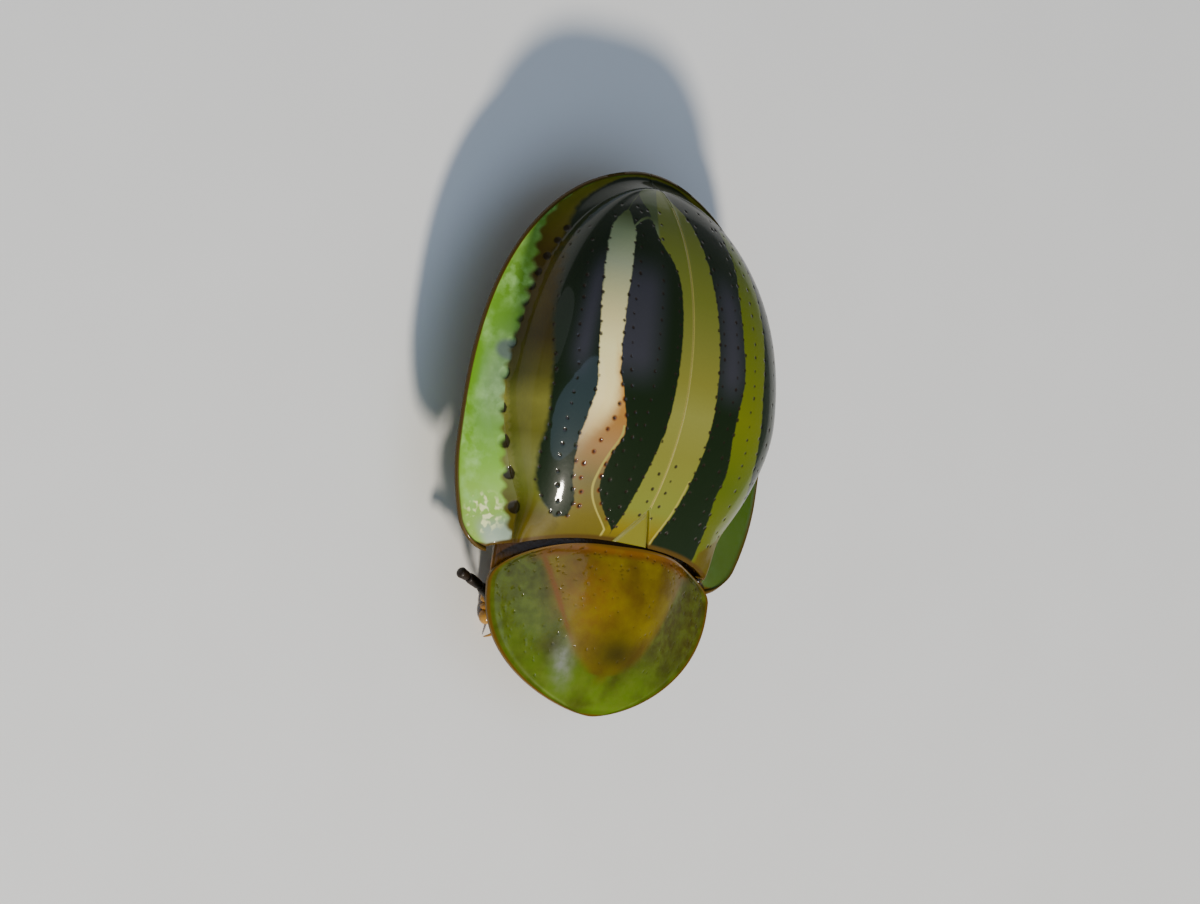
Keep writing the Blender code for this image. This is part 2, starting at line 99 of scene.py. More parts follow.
def linear(code: str) -> Colour:
    """Turns an sRGB hex colour to linear.

    Args:
        code: six hex digits, such as "A8953F".

    Returns:
        The linear colour with an alpha of 1.
    """
    levels = [int(code[k : k + 2], 16) / 255 for k in (0, 2, 4)]
    red, green, blue = (c / 12.92 if c <= 0.04045 else ((c + 0.055) / 1.055) ** 2.4 for c in levels)
    return red, green, blue, 1.0


def mix(a: float, b: float, share: float) -> float:
    """The value a share of the way from a to b."""
    return a + (b - a) * share


def smooth_step(low: float, high: float, value: float) -> float:
    """0 below low, 1 above high and smooth between."""
    t = min(max((value - low) / (high - low), 0.0), 1.0)
    return t * t * (3 - 2 * t)


def eased(share: float) -> float:
    """A share that gathers rows towards both ends."""
    return (1 - math.cos(math.pi * share)) / 2


def hump(value: float, width: float) -> float:
    """1 at zero, falling smoothly to nothing past a width."""
    return math.exp(-((value / width) ** 2))


def passing(start: Knot, end: Knot, leave: Knot, arrive: Knot, t: float) -> Knot:
    """A place on the smooth way from one knot to the next.

    Args:
        start: the first knot.
        end: the next one.
        leave: the speed at the first.
        arrive: the speed at the next.
        t: the share of the way.

    Returns:
        The place, a number or a vector as the knots are.
    """
    return (
        start * (2 * t**3 - 3 * t**2 + 1)
        + leave * (t**3 - 2 * t**2 + t)
        + end * (3 * t**2 - 2 * t**3)
        + arrive * (t**3 - t**2)
    )


def along_curve(points: Curve, at: float) -> float:
    """A smooth value through a few named places.

    Args:
        points: (place, value) pairs in rising order of place.
        at: the place to read.

    Returns:
        The value there, held level past both ends.
    """
    if not points[0][0] < at < points[-1][0]:
        return points[0][1] if at <= points[0][0] else points[-1][1]
    k = next(k for k in range(len(points)) if at <= points[k + 1][0])
    (start, low), (end, high) = points[k], points[k + 1]
    before, after = points[max(k - 1, 0)], points[min(k + 2, len(points) - 1)]
    span = end - start
    leave = (high - before[1]) / (end - before[0]) * span
    arrive = (after[1] - low) / (after[0] - start) * span
    return passing(low, high, leave, arrive, (at - start) / span)


def smooth_path(points: list[Vector], steps: int) -> list[Vector]:
    """A smooth line through a few points.

    Args:
        points: the points that it passes.
        steps: how many even steps the line has.

    Returns:
        The line's points.
    """
    spans = len(points) - 1
    line = []
    for step in range(steps + 1):
        place = min(step / steps * spans, spans - 1e-9)
        k = int(place)
        start, end = points[k], points[k + 1]
        leave = (end - points[max(k - 1, 0)]) / 2
        arrive = (points[min(k + 2, spans)] - start) / 2
        line.append(passing(start, end, leave, arrive, place - k))
    return line


# Shapes


def wrapped(columns: int, rows: int, place: Place) -> bmesh.types.BMesh:
    """A closed shape with a pole at each end.

    Args:
        columns: faces round it.
        rows: faces from end to end.
        place: the point at a share of its length and an angle round it.

    Returns:
        The shape.
    """
    shape = bmesh.new()
    bmesh.ops.create_uvsphere(shape, u_segments=columns, v_segments=rows, radius=1)
    for vert in shape.verts:
        share = math.acos(min(max(-vert.co.z, -1), 1)) / math.pi
        vert.co = place(share, math.atan2(vert.co.y, vert.co.x))
    bmesh.ops.recalc_face_normals(shape, faces=shape.faces[:])
    return shape


def ball(
    centre: Vector, half: Vector, columns: int = 24, rows: int = 16, turn: Matrix | None = None
) -> bmesh.types.BMesh:
    """A closed ellipsoid.

    Args:
        centre: its middle.
        half: its half sizes along its own axes.
        columns: faces round it.
        rows: faces from pole to pole.
        turn: how its own axes are turned.

    Returns:
        The shape.
    """
    shape = bmesh.new()
    bmesh.ops.create_uvsphere(shape, u_segments=columns, v_segments=rows, radius=1)
    bmesh.ops.scale(shape, vec=half, verts=shape.verts[:])
    if turn is not None:
        bmesh.ops.transform(shape, matrix=turn.to_4x4(), verts=shape.verts[:])
    bmesh.ops.translate(shape, vec=centre, verts=shape.verts[:])
    return shape


def limb(
    points: list[Vector], radii: Curve, columns: int = 20, rows: int = 24, flat: float = 1.0
) -> bmesh.types.BMesh:
    """A closed, rounded limb along a line.

    Args:
        points: points along its middle, from root to tip.
        radii: its radius at some shares of its length.
        columns: faces round it.
        rows: faces along it.
        flat: its height as a share of its width.

    Returns:
        The shape.
    """
    line = smooth_path(points, rows)

    def place(share: float, angle: float) -> Vector:
        """The limb's skin.

        Args:
            share: the share of its length, from 0 to 1.
            angle: the angle round it.

        Returns:
            The point.
        """
        k = min(int(share * rows + 0.5), rows)
        ahead = (line[min(k + 1, rows)] - line[max(k - 1, 0)]).normalized()
        across = ahead.cross(Vector((0, 0, 1)))
        across = across.normalized() if across.length > 1e-6 else Vector((1, 0, 0))
        closing = math.sqrt(max(1 - abs(2 * share - 1) ** 12, 0))
        radius = along_curve(radii, share) * closing
        up = across.cross(ahead) * flat
        return line[k] + (across * math.cos(angle) + up * math.sin(angle)) * radius

    return wrapped(columns, rows, place)


def together(shapes: list[bmesh.types.BMesh]) -> bmesh.types.BMesh:
    """Puts several closed shapes into one.

    Args:
        shapes: the shapes, which are used up.

    Returns:
        One shape that holds them all.
    """
    whole = bmesh.new()
    for shape in shapes:
        mesh = bpy.data.meshes.new("part")
        shape.to_mesh(mesh)
        shape.free()
        whole.from_mesh(mesh)
        bpy.data.meshes.remove(mesh)
    return whole


def marked(shape: bmesh.types.BMesh, name: str, value: Callable[[Vector], float]) -> None:
    """Writes a value on every vertex.

    Args:
        shape: the shape that carries it.
        name: the value's name, which its finish reads.
        value: what it is at a point.
    """
    layer = shape.verts.layers.float.get(name) or shape.verts.layers.float.new(name)
    for vert in shape.verts:
        vert[layer] = value(vert.co)


def sheet(
    columns: int,
    rows: int,
    spot: Callable[[float, float], Spot],
    marks: Callable[[Vector, float], dict[str, float]],
    flipped: bool = False,
) -> tuple[bmesh.types.BMesh, list[Spot], list[Vector]]:
    """An open sheet, with the values of its pattern on every vertex.

    Args:
        columns: faces across it.
        rows: faces along it.
        spot: a point and a measure of its own, at two shares from 0 to 1.
        marks: the pattern's named values at a point with its measure.
        flipped: whether the shares run so that the faces have to be turned over.

    Returns:
        The sheet, and the point with its measure and the outward normal of each vertex.
    """
    shape = bmesh.new()
    bmesh.ops.create_grid(shape, x_segments=columns, y_segments=rows, size=0.5)
    spots = [spot(vert.co.x + 0.5, vert.co.y + 0.5) for vert in shape.verts]
    values = [marks(point, measure) for point, measure in spots]
    layers = {name: shape.verts.layers.float.new(name) for name in values[0]}
    for vert, (point, _), value in zip(shape.verts, spots, values):
        vert.co = point
        for name, layer in layers.items():
            vert[layer] = value[name]
    if flipped:
        bmesh.ops.reverse_faces(shape, faces=shape.faces[:])
    shape.normal_update()
    return shape, spots, [vert.normal.copy() for vert in shape.verts]


def walled(shape: bmesh.types.BMesh, skin: list[tuple[Vector, Vector, float]]) -> None:
    """Gives an open sheet its wall and closes it.

    Args:
        shape: the outer face, with its vertices in the skin's order.
        skin: each vertex's point, its outward normal and the wall's thickness there.
    """
    home = shape.verts.layers.int.new("home")
    for k, vert in enumerate(shape.verts):
        vert[home] = k
    copied = bmesh.ops.extrude_face_region(shape, geom=shape.faces[:], use_keep_orig=True)
    for vert in (item for item in copied["geom"] if isinstance(item, bmesh.types.BMVert)):
        point, normal, thickness = skin[vert[home]]
        vert.co = point - normal * thickness
    shape.verts.layers.int.remove(home)
    bmesh.ops.remove_doubles(shape, verts=shape.verts[:], dist=2e-4)
    bmesh.ops.dissolve_degenerate(shape, edges=shape.edges[:], dist=1e-4)
    bmesh.ops.recalc_face_normals(shape, faces=shape.faces[:])


def sunk(
    shape: bmesh.types.BMesh, pits: list[tuple[Vector, float]], depth: float, normals: list[Vector]
) -> None:
    """Sinks round pits into a sheet.

    The "pit" value that it writes is how far inside a pit's mouth a vertex lies, in millimetres.

    Args:
        shape: the sheet.
        pits: each pit's middle and radius.
        depth: a pit's depth as a share of its radius.
        normals: the sheet's outward normal at each vertex.
    """
    layer = shape.verts.layers.float.new("pit")
    tree = KDTree(len(pits))
    for k, (point, _) in enumerate(pits):
        tree.insert(point, k)
    tree.balance()
    for vert, normal in zip(shape.verts, normals):
        _, k, away = tree.find(vert.co)
        radius = pits[k][1]
        vert[layer] = max(radius - away, -0.1)
        if away < radius:
            vert.co -= normal * (1 - (away / radius) ** 2) ** 2 * depth * radius


def piece(
    name: str,
    shape: bmesh.types.BMesh,
    finish: bpy.types.Material,
    stands_for: tuple[str, ...] = (),
) -> bpy.types.Object:
    """Turns a shape in millimetres into a piece of the beetle.

    Args:
        name: the piece's name.
        shape: the closed shape, which is used up.
        finish: its material.
        stands_for: the solids that it replaces.

    Returns:
        The piece, at the origin, with its place in its mesh.
    """
    bmesh.ops.scale(shape, vec=(MM, MM, MM), verts=shape.verts[:])
    mesh = bpy.data.meshes.new(name)
    shape.to_mesh(mesh)
    shape.free()
    mesh.shade_smooth()
    mesh.materials.append(finish)
    made = bpy.data.objects.new(name, mesh)
    bpy.context.scene.collection.objects.link(made)
    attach(made, "root")
    if stands_for:
        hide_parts(*stands_for)
    LOG.info("%s: %d faces", name, len(mesh.polygons))
    return made


# Finishes


def add(
    tree: bpy.types.NodeTree,
    kind: str,
    inputs: dict[str | int, object] | None = None,
    out: str = "",
    stops: Ramp = (),
    **settings: object,
) -> bpy.types.NodeSocket:
    """Adds a node with its settings, its values and its links.

    Args:
        tree: the material's node tree.
        kind: the node's type, without "ShaderNode".
        inputs: a value, or another node's output, for each named or numbered input.
        out: the name of the wanted output, or nothing for the first.
        stops: the places and colours of a colour ramp, in rising order of place.
        settings: properties of the node.

    Returns:
        The wanted output.
    """
    node = tree.nodes.new("ShaderNode" + kind)
    for key, value in settings.items():
        setattr(node, key, value)
    for k, (place, code) in enumerate(stops):
        ramp = node.color_ramp.elements
        stop = ramp[k] if k < 2 else ramp.new(place)
        stop.position, stop.color = place, linear(code)
    for key, value in (inputs or {}).items():
        socket = node.inputs[key] if isinstance(key, int) else None
        socket = socket or next(s for s in node.inputs if s.enabled and s.name == key)
        if isinstance(value, bpy.types.NodeSocket):
            tree.links.new(value, socket)
        else:
            socket.default_value = value
    return next(s for s in node.outputs if s.enabled and s.name == (out or s.name))


@dataclass(frozen=True)
class Cuticle:
    """Insect cuticle: hard, horn-like and waxed, so it gleams like lacquer over a soft colour."""

    name: str
    roughness: float = 0.42
    gleam: float = 0.2
    coat: float = 1.0
    coat_roughness: float = 0.08
    ior: float = 1.5

    def start(self, marks: tuple[str, ...] = ()) -> Started:
        """Makes the material with its shader's constant values.

        Args:
            marks: the names of the values that it reads from its pieces.

        Returns:
            The material, its tree, its shader, the place on the piece, and each value.
        """
        made = bpy.data.materials.new(self.name)
        made.use_nodes = True
        tree, shader = made.node_tree, made.node_tree.nodes["Principled BSDF"]
        shader.inputs["Roughness"].default_value = self.roughness
        shader.inputs["IOR"].default_value = self.ior
        shader.inputs["Specular IOR Level"].default_value = self.gleam
        shader.inputs["Coat Weight"].default_value = self.coat
        shader.inputs["Coat Roughness"].default_value = self.coat_roughness
        place = add(tree, "TexCoord", out="Object")
        value = {name: add(tree, "Attribute", out="Fac", attribute_name=name) for name in marks}
        return made, tree, shader, place, value


@dataclass(frozen=True)
class ElytraFinish(Cuticle):
    """Moulded beetle horn of the wing cases.

    Lacquer black with a cold blue gleam, olive-yellow stripes, one that pales to cream, an amber
    flank with big dark pits, and a clear mint-green rim with silver air cells in it. Each ramp
    runs from the apex to the base.
    """

    gleam: float = 0.12
    coat: float = 0.55
    coat_roughness: float = 0.065
    flank_coat: float = 0.2
    rim_alpha: float = 0.92
    # The lacquer black, tinted green by a painted reflection of green light
    ink: str = "0C1C02"
    # Painted reflection: a violet-grey band of sheen laid on the black
    smoke: str = "34343A"
    yellow: Ramp = (
        (0.02, "6E7420"), (0.2, "6A7220"), (0.33, "6C7222"), (0.44, "72742A"), (0.55, "7A782A"),
        (0.64, "808038"), (0.75, "76762C"), (0.9, "707628"), (0.96, "74660E"), (1.0, "5C4C04"),
    )  # fmt: skip
    # The outer stripe of the left case: partly its own olive, partly painted shade, darker as it is
    # turned from the light
    olive: Ramp = (
        (0.15, "5A6804"), (0.45, "606A06"), (0.62, "626A06"), (0.8, "4C5A02"), (1.0, "585E08"),
    )  # fmt: skip
    # Towards the apex the cream turns grey-green: a painted green cast of reflected light
    cream: Ramp = (
        (0.13, "4A5828"), (0.18, "828E64"), (0.27, "A2A884"), (0.35, "C2BE88"), (0.42, "DED090"),
        (0.5, "F3E6A0"), (0.64, "F4DE96"), (0.71, "D0B478"), (0.77, "98825A"), (0.87, "564E24"),
        (0.93, "5C541C"), (1.0, "584C04"),
    )  # fmt: skip
    amber: Ramp = (
        (0.02, "6E6A0C"), (0.12, "66600A"), (0.26, "503E00"), (0.34, "463600"), (0.5, "403400"),
        (0.6, "524E12"), (0.67, "7C7A30"), (0.75, "605F1C"), (0.83, "74763C"), (0.9, "5E621C"),
        (0.97, "5C5006"),
    )  # fmt: skip
    rim: Ramp = (
        (0.1, "5E8A28"), (0.25, "6A9430"), (0.42, "689A20"), (0.57, "689C1C"), (0.75, "6A9E20"),
        (0.84, "7CB030"), (0.92, "92BE4E"), (1.0, "92B64A"),
    )  # fmt: skip
    blush: Ramp = (
        (0.52, "D8A850"), (0.6, "C08838"), (0.68, "9A6C30"), (0.76, "927044"), (0.85, "665C34"),
        (0.95, "665A0A"),
    )  # fmt: skip
    cloud_shade: str = "DDDDDD"
    rim_pale: str = "9CCC6C"
    # Painted shade: the darker olive that the rim of the left case takes, the side away from the light
    far_rim_shade: str = "2C4004"
    silver: str = "A6B4A4"
    # A soft grey-violet blot on the rim of the right case
    bruise: str = "66706C"
    bite: str = "6A3810"
    pit: str = "1C1103"
    edge: str = "4A3606"
    line: str = "A09648"
    fleck: str = "F2F8B0"
    # Sizes in millimetres: how often a border trembles, the clouds of pigment, the rim's air cells
    # and its crumbs of gold. The horn's own grain, 0.01 mm, is drawn at 0.05 mm so that it shows.
    tremble: float = 0.1
    tremble_by: float = 0.009
    cloud: float = 0.5
    cell: float = 0.16
    crumb: float = 0.085
    grain: float = 0.05
    grain_depth: float = 0.01
    pit_slope: float = 0.034
    pit_depth: float = 0.006

    def make(self) -> bpy.types.Material:
        """Builds the material.

        Returns:
            The material.
        """
        names = ("stripe", "amber", "rim", "edge", "along", "line", "pit", "cream", "olive", "blush")
        names += ("smoke", "far", "silver", "gold", "bruise")
        made, tree, shader, place, value = self.start(names)
        sizes = (
            (self.tremble, 3.0),
            (self.cloud, 3.0),
            (self.cell, 3.0),
            (self.crumb, 1.0),
            (self.grain, 2.0),
        )
        fine, cloud, cells, crumbs, grain = (
            add(tree, "TexNoise", {"Vector": place, "Scale": 1 / (size * MM), "Detail": detail})
            for size, detail in sizes
        )
        ranges = (
            (fine, 0.3, 0.7, -self.tremble_by, self.tremble_by),
            (cloud, 0.35, 0.65, 0.0, 1.0),
            (cells, 0.4, 0.68, 0.0, 1.0),
            (crumbs, 0.54, 0.66, 0.0, 1.0),
            (value["pit"], 0.002, 0.018, 0.0, 0.9),
            (value["pit"], -0.016, 0.006, 0.0, 1.0),
        )
        wobble, cloudy, celled, fleck, pitted, halo = (
            add(
                tree,
                "MapRange",
                {"Value": level, "From Min": low, "From Max": high, "To Min": least, "To Max": most},
            )
            for level, low, high, least, most in ranges
        )
        # How wide the border of each zone is, and what it trembles with.
        borders = {
            "stripe": (0.014, wobble),
            "amber": (0.03, wobble),
            "rim": (0.035, wobble),
            "line": (0.012, 0.0),
            "blush": (0.08, wobble),
        }
        mask = {}
        for name, (soft, by) in borders.items():
            moved = add(tree, "Math", {0: value[name], 1: by}, operation="ADD")
            span = {"Value": moved, "From Min": -soft, "From Max": soft}
            mask[name] = add(tree, "MapRange", span, interpolation_type="SMOOTHSTEP")
        solid = add(tree, "Math", {0: 1.0, 1: value["edge"]}, operation="SUBTRACT")
        bitten, pale, thin, gilt = (
            add(tree, "Math", {0: one, 1: other}, operation="MULTIPLY")
            for one, other in (
                (halo, mask["blush"]),
                (cloudy, celled),
                (mask["rim"], solid),
                (value["gold"], mask["rim"]),
            )
        )
        fleck = add(tree, "Math", {0: fleck, 1: gilt}, operation="MULTIPLY")
        yellow, olive, cream, amber, clear, blush = (
            add(tree, "ValToRGB", {"Fac": value["along"]}, stops=ramp)
            for ramp in (self.yellow, self.olive, self.cream, self.amber, self.rim, self.blush)
        )
        shadow = add(
            tree,
            "Mix",
            {"Factor": cloudy, "A": linear(self.cloud_shade), "B": linear("FFFFFF")},
            data_type="RGBA",
        )
        amber = add(
            tree, "Mix", {"Factor": 0.8, "A": amber, "B": shadow}, data_type="RGBA", blend_type="MULTIPLY"
        )
        for share, over in (
            (pale, self.rim_pale),
            # Painted shade on the rim of the left case
            (value["far"], self.far_rim_shade),
            (value["silver"], self.silver),
            (value["bruise"], self.bruise),
        ):
            clear = add(tree, "Mix", {"Factor": share, "A": clear, "B": linear(over)}, data_type="RGBA")
        for share, over in (
            (value["olive"], olive),
            (value["cream"], cream),
            (mask["blush"], blush),
            (bitten, linear(self.bite)),
        ):
            yellow = add(tree, "Mix", {"Factor": share, "A": yellow, "B": over}, data_type="RGBA")
        colour = linear(self.ink)
        for share, over in (
            # Painted reflection: the violet-grey band of sheen on the black
            (value["smoke"], linear(self.smoke)),
            (mask["stripe"], yellow),
            (mask["amber"], amber),
            (mask["line"], linear(self.line)),
            (pitted, linear(self.pit)),
            (mask["rim"], clear),
            (value["edge"], linear(self.edge)),
            (fleck, linear(self.fleck)),
        ):
            colour = add(tree, "Mix", {"Factor": share, "A": colour, "B": over}, data_type="RGBA")
        alpha = add(tree, "MapRange", {"Value": thin, "To Min": 1.0, "To Max": self.rim_alpha})
        waxed = add(
            tree, "MapRange", {"Value": mask["amber"], "To Min": self.coat, "To Max": self.flank_coat}
        )
        span = {"Value": value["pit"], "From Max": self.pit_slope}
        hole = add(tree, "MapRange", span, interpolation_type="SMOOTHSTEP")
        rough = add(tree, "Bump", {"Height": grain, "Strength": 0.12, "Distance": self.grain_depth * MM})
        pressed = {"Height": hole, "Strength": 0.9, "Distance": self.pit_depth * MM}
        for socket, source in (
            ("Base Color", colour),
            ("Alpha", alpha),
            ("Coat Weight", waxed),
            ("Normal", add(tree, "Bump", {**pressed, "Normal": rough}, invert=True)),
            ("Coat Normal", add(tree, "Bump", pressed, invert=True)),
        ):
            tree.links.new(source, shader.inputs[socket])
        return made


@dataclass(frozen=True)
class PronotumFinish(Cuticle):
    """Moulded horn, honey-gold and thick in the middle, that thins to a dull olive, clear edge."""

    gleam: float = 0.12
    coat: float = 0.3
    coat_roughness: float = 0.12
    margin_alpha: float = 0.95
    middle: str = "564402"
    warm: str = "726400"
    rust: str = "6A3E06"
    # The colour of the painted shade on the shield, also used to darken its pits
    shade: str = "2A2400"
    margin: Ramp = ((0.0, "3E3A00"), (0.3, "444A04"), (0.6, "4A5C06"), (1.0, "557004"))
    margin_pale: str = "5C6C1A"
    # The colour of the painted highlight on the shield
    silver: str = "787C74"
    smut: str = "353204"
    edge: str = "5C4204"
    # Sizes in millimetres: clouds in the gold, mottling and blots in the clear edge. The horn's own
    # grain, 0.01 mm, is drawn at 0.06 mm so that it shows.
    cloud: float = 0.5
    tremble_by: float = 0.06
    mottle: float = 0.12
    blot: float = 0.4
    grain: float = 0.06
    grain_depth: float = 0.01
    pit_slope: float = 0.02
    pit_depth: float = 0.006

    def make(self) -> bpy.types.Material:
        """Builds the material.

        Returns:
            The material.
        """
        names = ("margin", "rust", "shade", "silver", "edge", "pit", "fore")
        made, tree, shader, place, value = self.start(names)
        sizes = ((self.cloud, 4.0), (self.mottle, 4.0), (self.blot, 4.0), (self.grain, 3.0))
        cloud, fine, blots, grain = (
            add(tree, "TexNoise", {"Vector": place, "Scale": 1 / (size * MM), "Detail": detail})
            for size, detail in sizes
        )
        ranges = (
            (cloud, 0.36, 0.64, 0.0, 1.0),
            (fine, 0.36, 0.64, 0.0, 1.0),
            (cloud, 0.3, 0.7, -self.tremble_by, self.tremble_by),
            (blots, 0.46, 0.72, 0.0, 0.7),
            (value["pit"], -0.002, 0.016, 0.0, 0.25),
        )
        cloudy, mottled, wobble, smutty, pitted = (
            add(
                tree,
                "MapRange",
                {"Value": level, "From Min": low, "From Max": high, "To Min": least, "To Max": most},
            )
            for level, low, high, least, most in ranges
        )
        moved = add(tree, "Math", {0: value["margin"], 1: wobble}, operation="ADD")
        outside, hole = (
            add(
                tree,
                "MapRange",
                {"Value": level, "From Min": low, "From Max": high},
                interpolation_type="SMOOTHSTEP",
            )
            for level, low, high in ((moved, -0.1, 0.16), (value["pit"], 0.0, self.pit_slope))
        )
        solid = add(tree, "Math", {0: 1.0, 1: value["edge"]}, operation="SUBTRACT")
        streaky = add(tree, "MapRange", {"Value": mottled, "To Min": 0.45, "To Max": 1.0})
        # Painted highlight, streaked by the mottling
        half, painted_highlight, thin = (
            add(tree, "Math", {0: one, 1: other}, operation="MULTIPLY")
            for one, other in ((mottled, 0.5), (value["silver"], streaky), (outside, solid))
        )
        rusty = add(tree, "Math", {0: value["rust"], 1: half}, operation="ADD", use_clamp=True)
        rusty = add(tree, "Math", {0: rusty, 1: value["rust"]}, operation="MULTIPLY")
        # The margin's ramp reads how far forward a point lies, less the painted shade on the beetle's
        # left
        clear = add(tree, "ValToRGB", {"Fac": value["fore"]}, stops=self.margin)
        for share, over in ((half, self.margin_pale), (smutty, self.smut)):
            clear = add(tree, "Mix", {"Factor": share, "A": clear, "B": linear(over)}, data_type="RGBA")
        colour = linear(self.middle)
        for share, over in (
            (cloudy, linear(self.warm)),
            (outside, clear),
            (rusty, linear(self.rust)),
            (value["shade"], linear(self.shade)),
            (painted_highlight, linear(self.silver)),
            (pitted, linear(self.shade)),
            (value["edge"], linear(self.edge)),
        ):
            colour = add(tree, "Mix", {"Factor": share, "A": colour, "B": over}, data_type="RGBA")
        alpha = add(tree, "MapRange", {"Value": thin, "To Min": 1.0, "To Max": self.margin_alpha})
        rough = add(tree, "Bump", {"Height": grain, "Strength": 0.15, "Distance": self.grain_depth * MM})
        bump = add(
            tree,
            "Bump",
            {"Height": hole, "Strength": 0.8, "Distance": self.pit_depth * MM, "Normal": rough},
            invert=True,
        )
        for socket, source in (
            ("Base Color", colour),
            ("Alpha", alpha),
            ("Normal", bump),
            ("Coat Normal", bump),
        ):
            tree.links.new(source, shader.inputs[socket])
        return made


@dataclass(frozen=True)
class PlainCuticle(Cuticle):
    """Moulded horn of one colour, cloudy and finely grained, that darkens at its joints."""

    coat: float = 0.4
    roughness: float = 0.3
    main: str = "5A3A14"
    deep: str = "2A1806"
    joint: str = "1C1004"
    # Sizes in millimetres: the clouds, and the small scales that break up the gloss.
    cloud: float = 0.25
    grain: float = 0.05
    grain_depth: float = 0.01
    grain_strength: float = 0.35

    def make(self) -> bpy.types.Material:
        """Builds the material.

        Returns:
            The material.
        """
        made, tree, shader, place, value = self.start(("joint",))
        cloud = add(tree, "TexNoise", {"Vector": place, "Scale": 1 / (self.cloud * MM), "Detail": 4.0})
        cloudy = add(tree, "MapRange", {"Value": cloud, "From Min": 0.35, "From Max": 0.65})
        colour = linear(self.main)
        for share, over in ((cloudy, self.deep), (value["joint"], self.joint)):
            colour = add(tree, "Mix", {"Factor": share, "A": colour, "B": linear(over)}, data_type="RGBA")
        tree.links.new(colour, shader.inputs["Base Color"])
        scales = add(tree, "TexVoronoi", {"Vector": place, "Scale": 1 / (self.grain * MM)})
        bump = {"Height": scales, "Strength": self.grain_strength, "Distance": self.grain_depth * MM}
        tree.links.new(add(tree, "Bump", bump), shader.inputs["Normal"])
        return made


@dataclass(frozen=True)
class EyeFinish(Cuticle):
    """Polished black compound eye, domed in hundreds of tiny lenses."""

    roughness: float = 0.2
    coat_roughness: float = 0.05
    main: str = "0B0A09"
    glow: str = "2B2118"
    # A lens is about 0.02 mm across. It is drawn at 0.035 mm so that it shows.
    lens: float = 0.035
    lens_depth: float = 0.01

    def make(self) -> bpy.types.Material:
        """Builds the material.

        Returns:
            The material.
        """
        made, tree, shader, place, _ = self.start()
        lens = add(
            tree, "TexVoronoi", {"Vector": place, "Scale": 1 / (self.lens * MM), "Randomness": 0.4}
        )
        ring = add(tree, "MapRange", {"Value": lens, "From Min": 0.2, "From Max": 0.7})
        tones = {"Factor": ring, "A": linear(self.glow), "B": linear(self.main)}
        tree.links.new(add(tree, "Mix", tones, data_type="RGBA"), shader.inputs["Base Color"])
        bump = {"Height": lens, "Strength": 0.7, "Distance": self.lens_depth * MM}
        tree.links.new(add(tree, "Bump", bump, invert=True), shader.inputs["Normal"])
        return made


@dataclass(frozen=True)
class PaperFinish:
    """Plain pale card, matt, with a faint tooth."""

    name: str = "pale_card_matt"
    roughness: float = 0.85
    main: str = "E9E8E4"
    shade: str = "E3E2DD"
    # The tooth's size in millimetres.
    tooth: float = 2.0

    def make(self) -> bpy.types.Material:
        """Builds the material.

        Returns:
            The material.
        """
        made = bpy.data.materials.new(self.name)
        made.use_nodes = True
        tree, shader = made.node_tree, made.node_tree.nodes["Principled BSDF"]
        shader.inputs["Roughness"].default_value = self.roughness
        place = add(tree, "TexCoord", out="Object")
        tooth = add(tree, "TexNoise", {"Vector": place, "Scale": 1 / (self.tooth * MM), "Detail": 3.0})
        tones = {"Factor": tooth, "A": linear(self.main), "B": linear(self.shade)}
        tree.links.new(add(tree, "Mix", tones, data_type="RGBA"), shader.inputs["Base Color"])
        return made


# The shield: wing cases, scutellum and pronotum


@dataclass(frozen=True)
class Neck:
    """The joint behind the head's shield, and how many degrees the head looks to its left."""

    angle: float = 4.0
    base_y: float = -1.39

    def turned(self, shape: bmesh.types.BMesh) -> bmesh.types.BMesh:
        """Turns a part of the head.

        Args:
            shape: the part, as on a head that looks straight on.

        Returns:
            The same shape, turned.
        """
        turn = Matrix.Rotation(math.radians(self.angle), 3, "Z")
        bmesh.ops.rotate(shape, cent=Vector((0, self.base_y, 0)), matrix=turn, verts=shape.verts[:])
        return shape


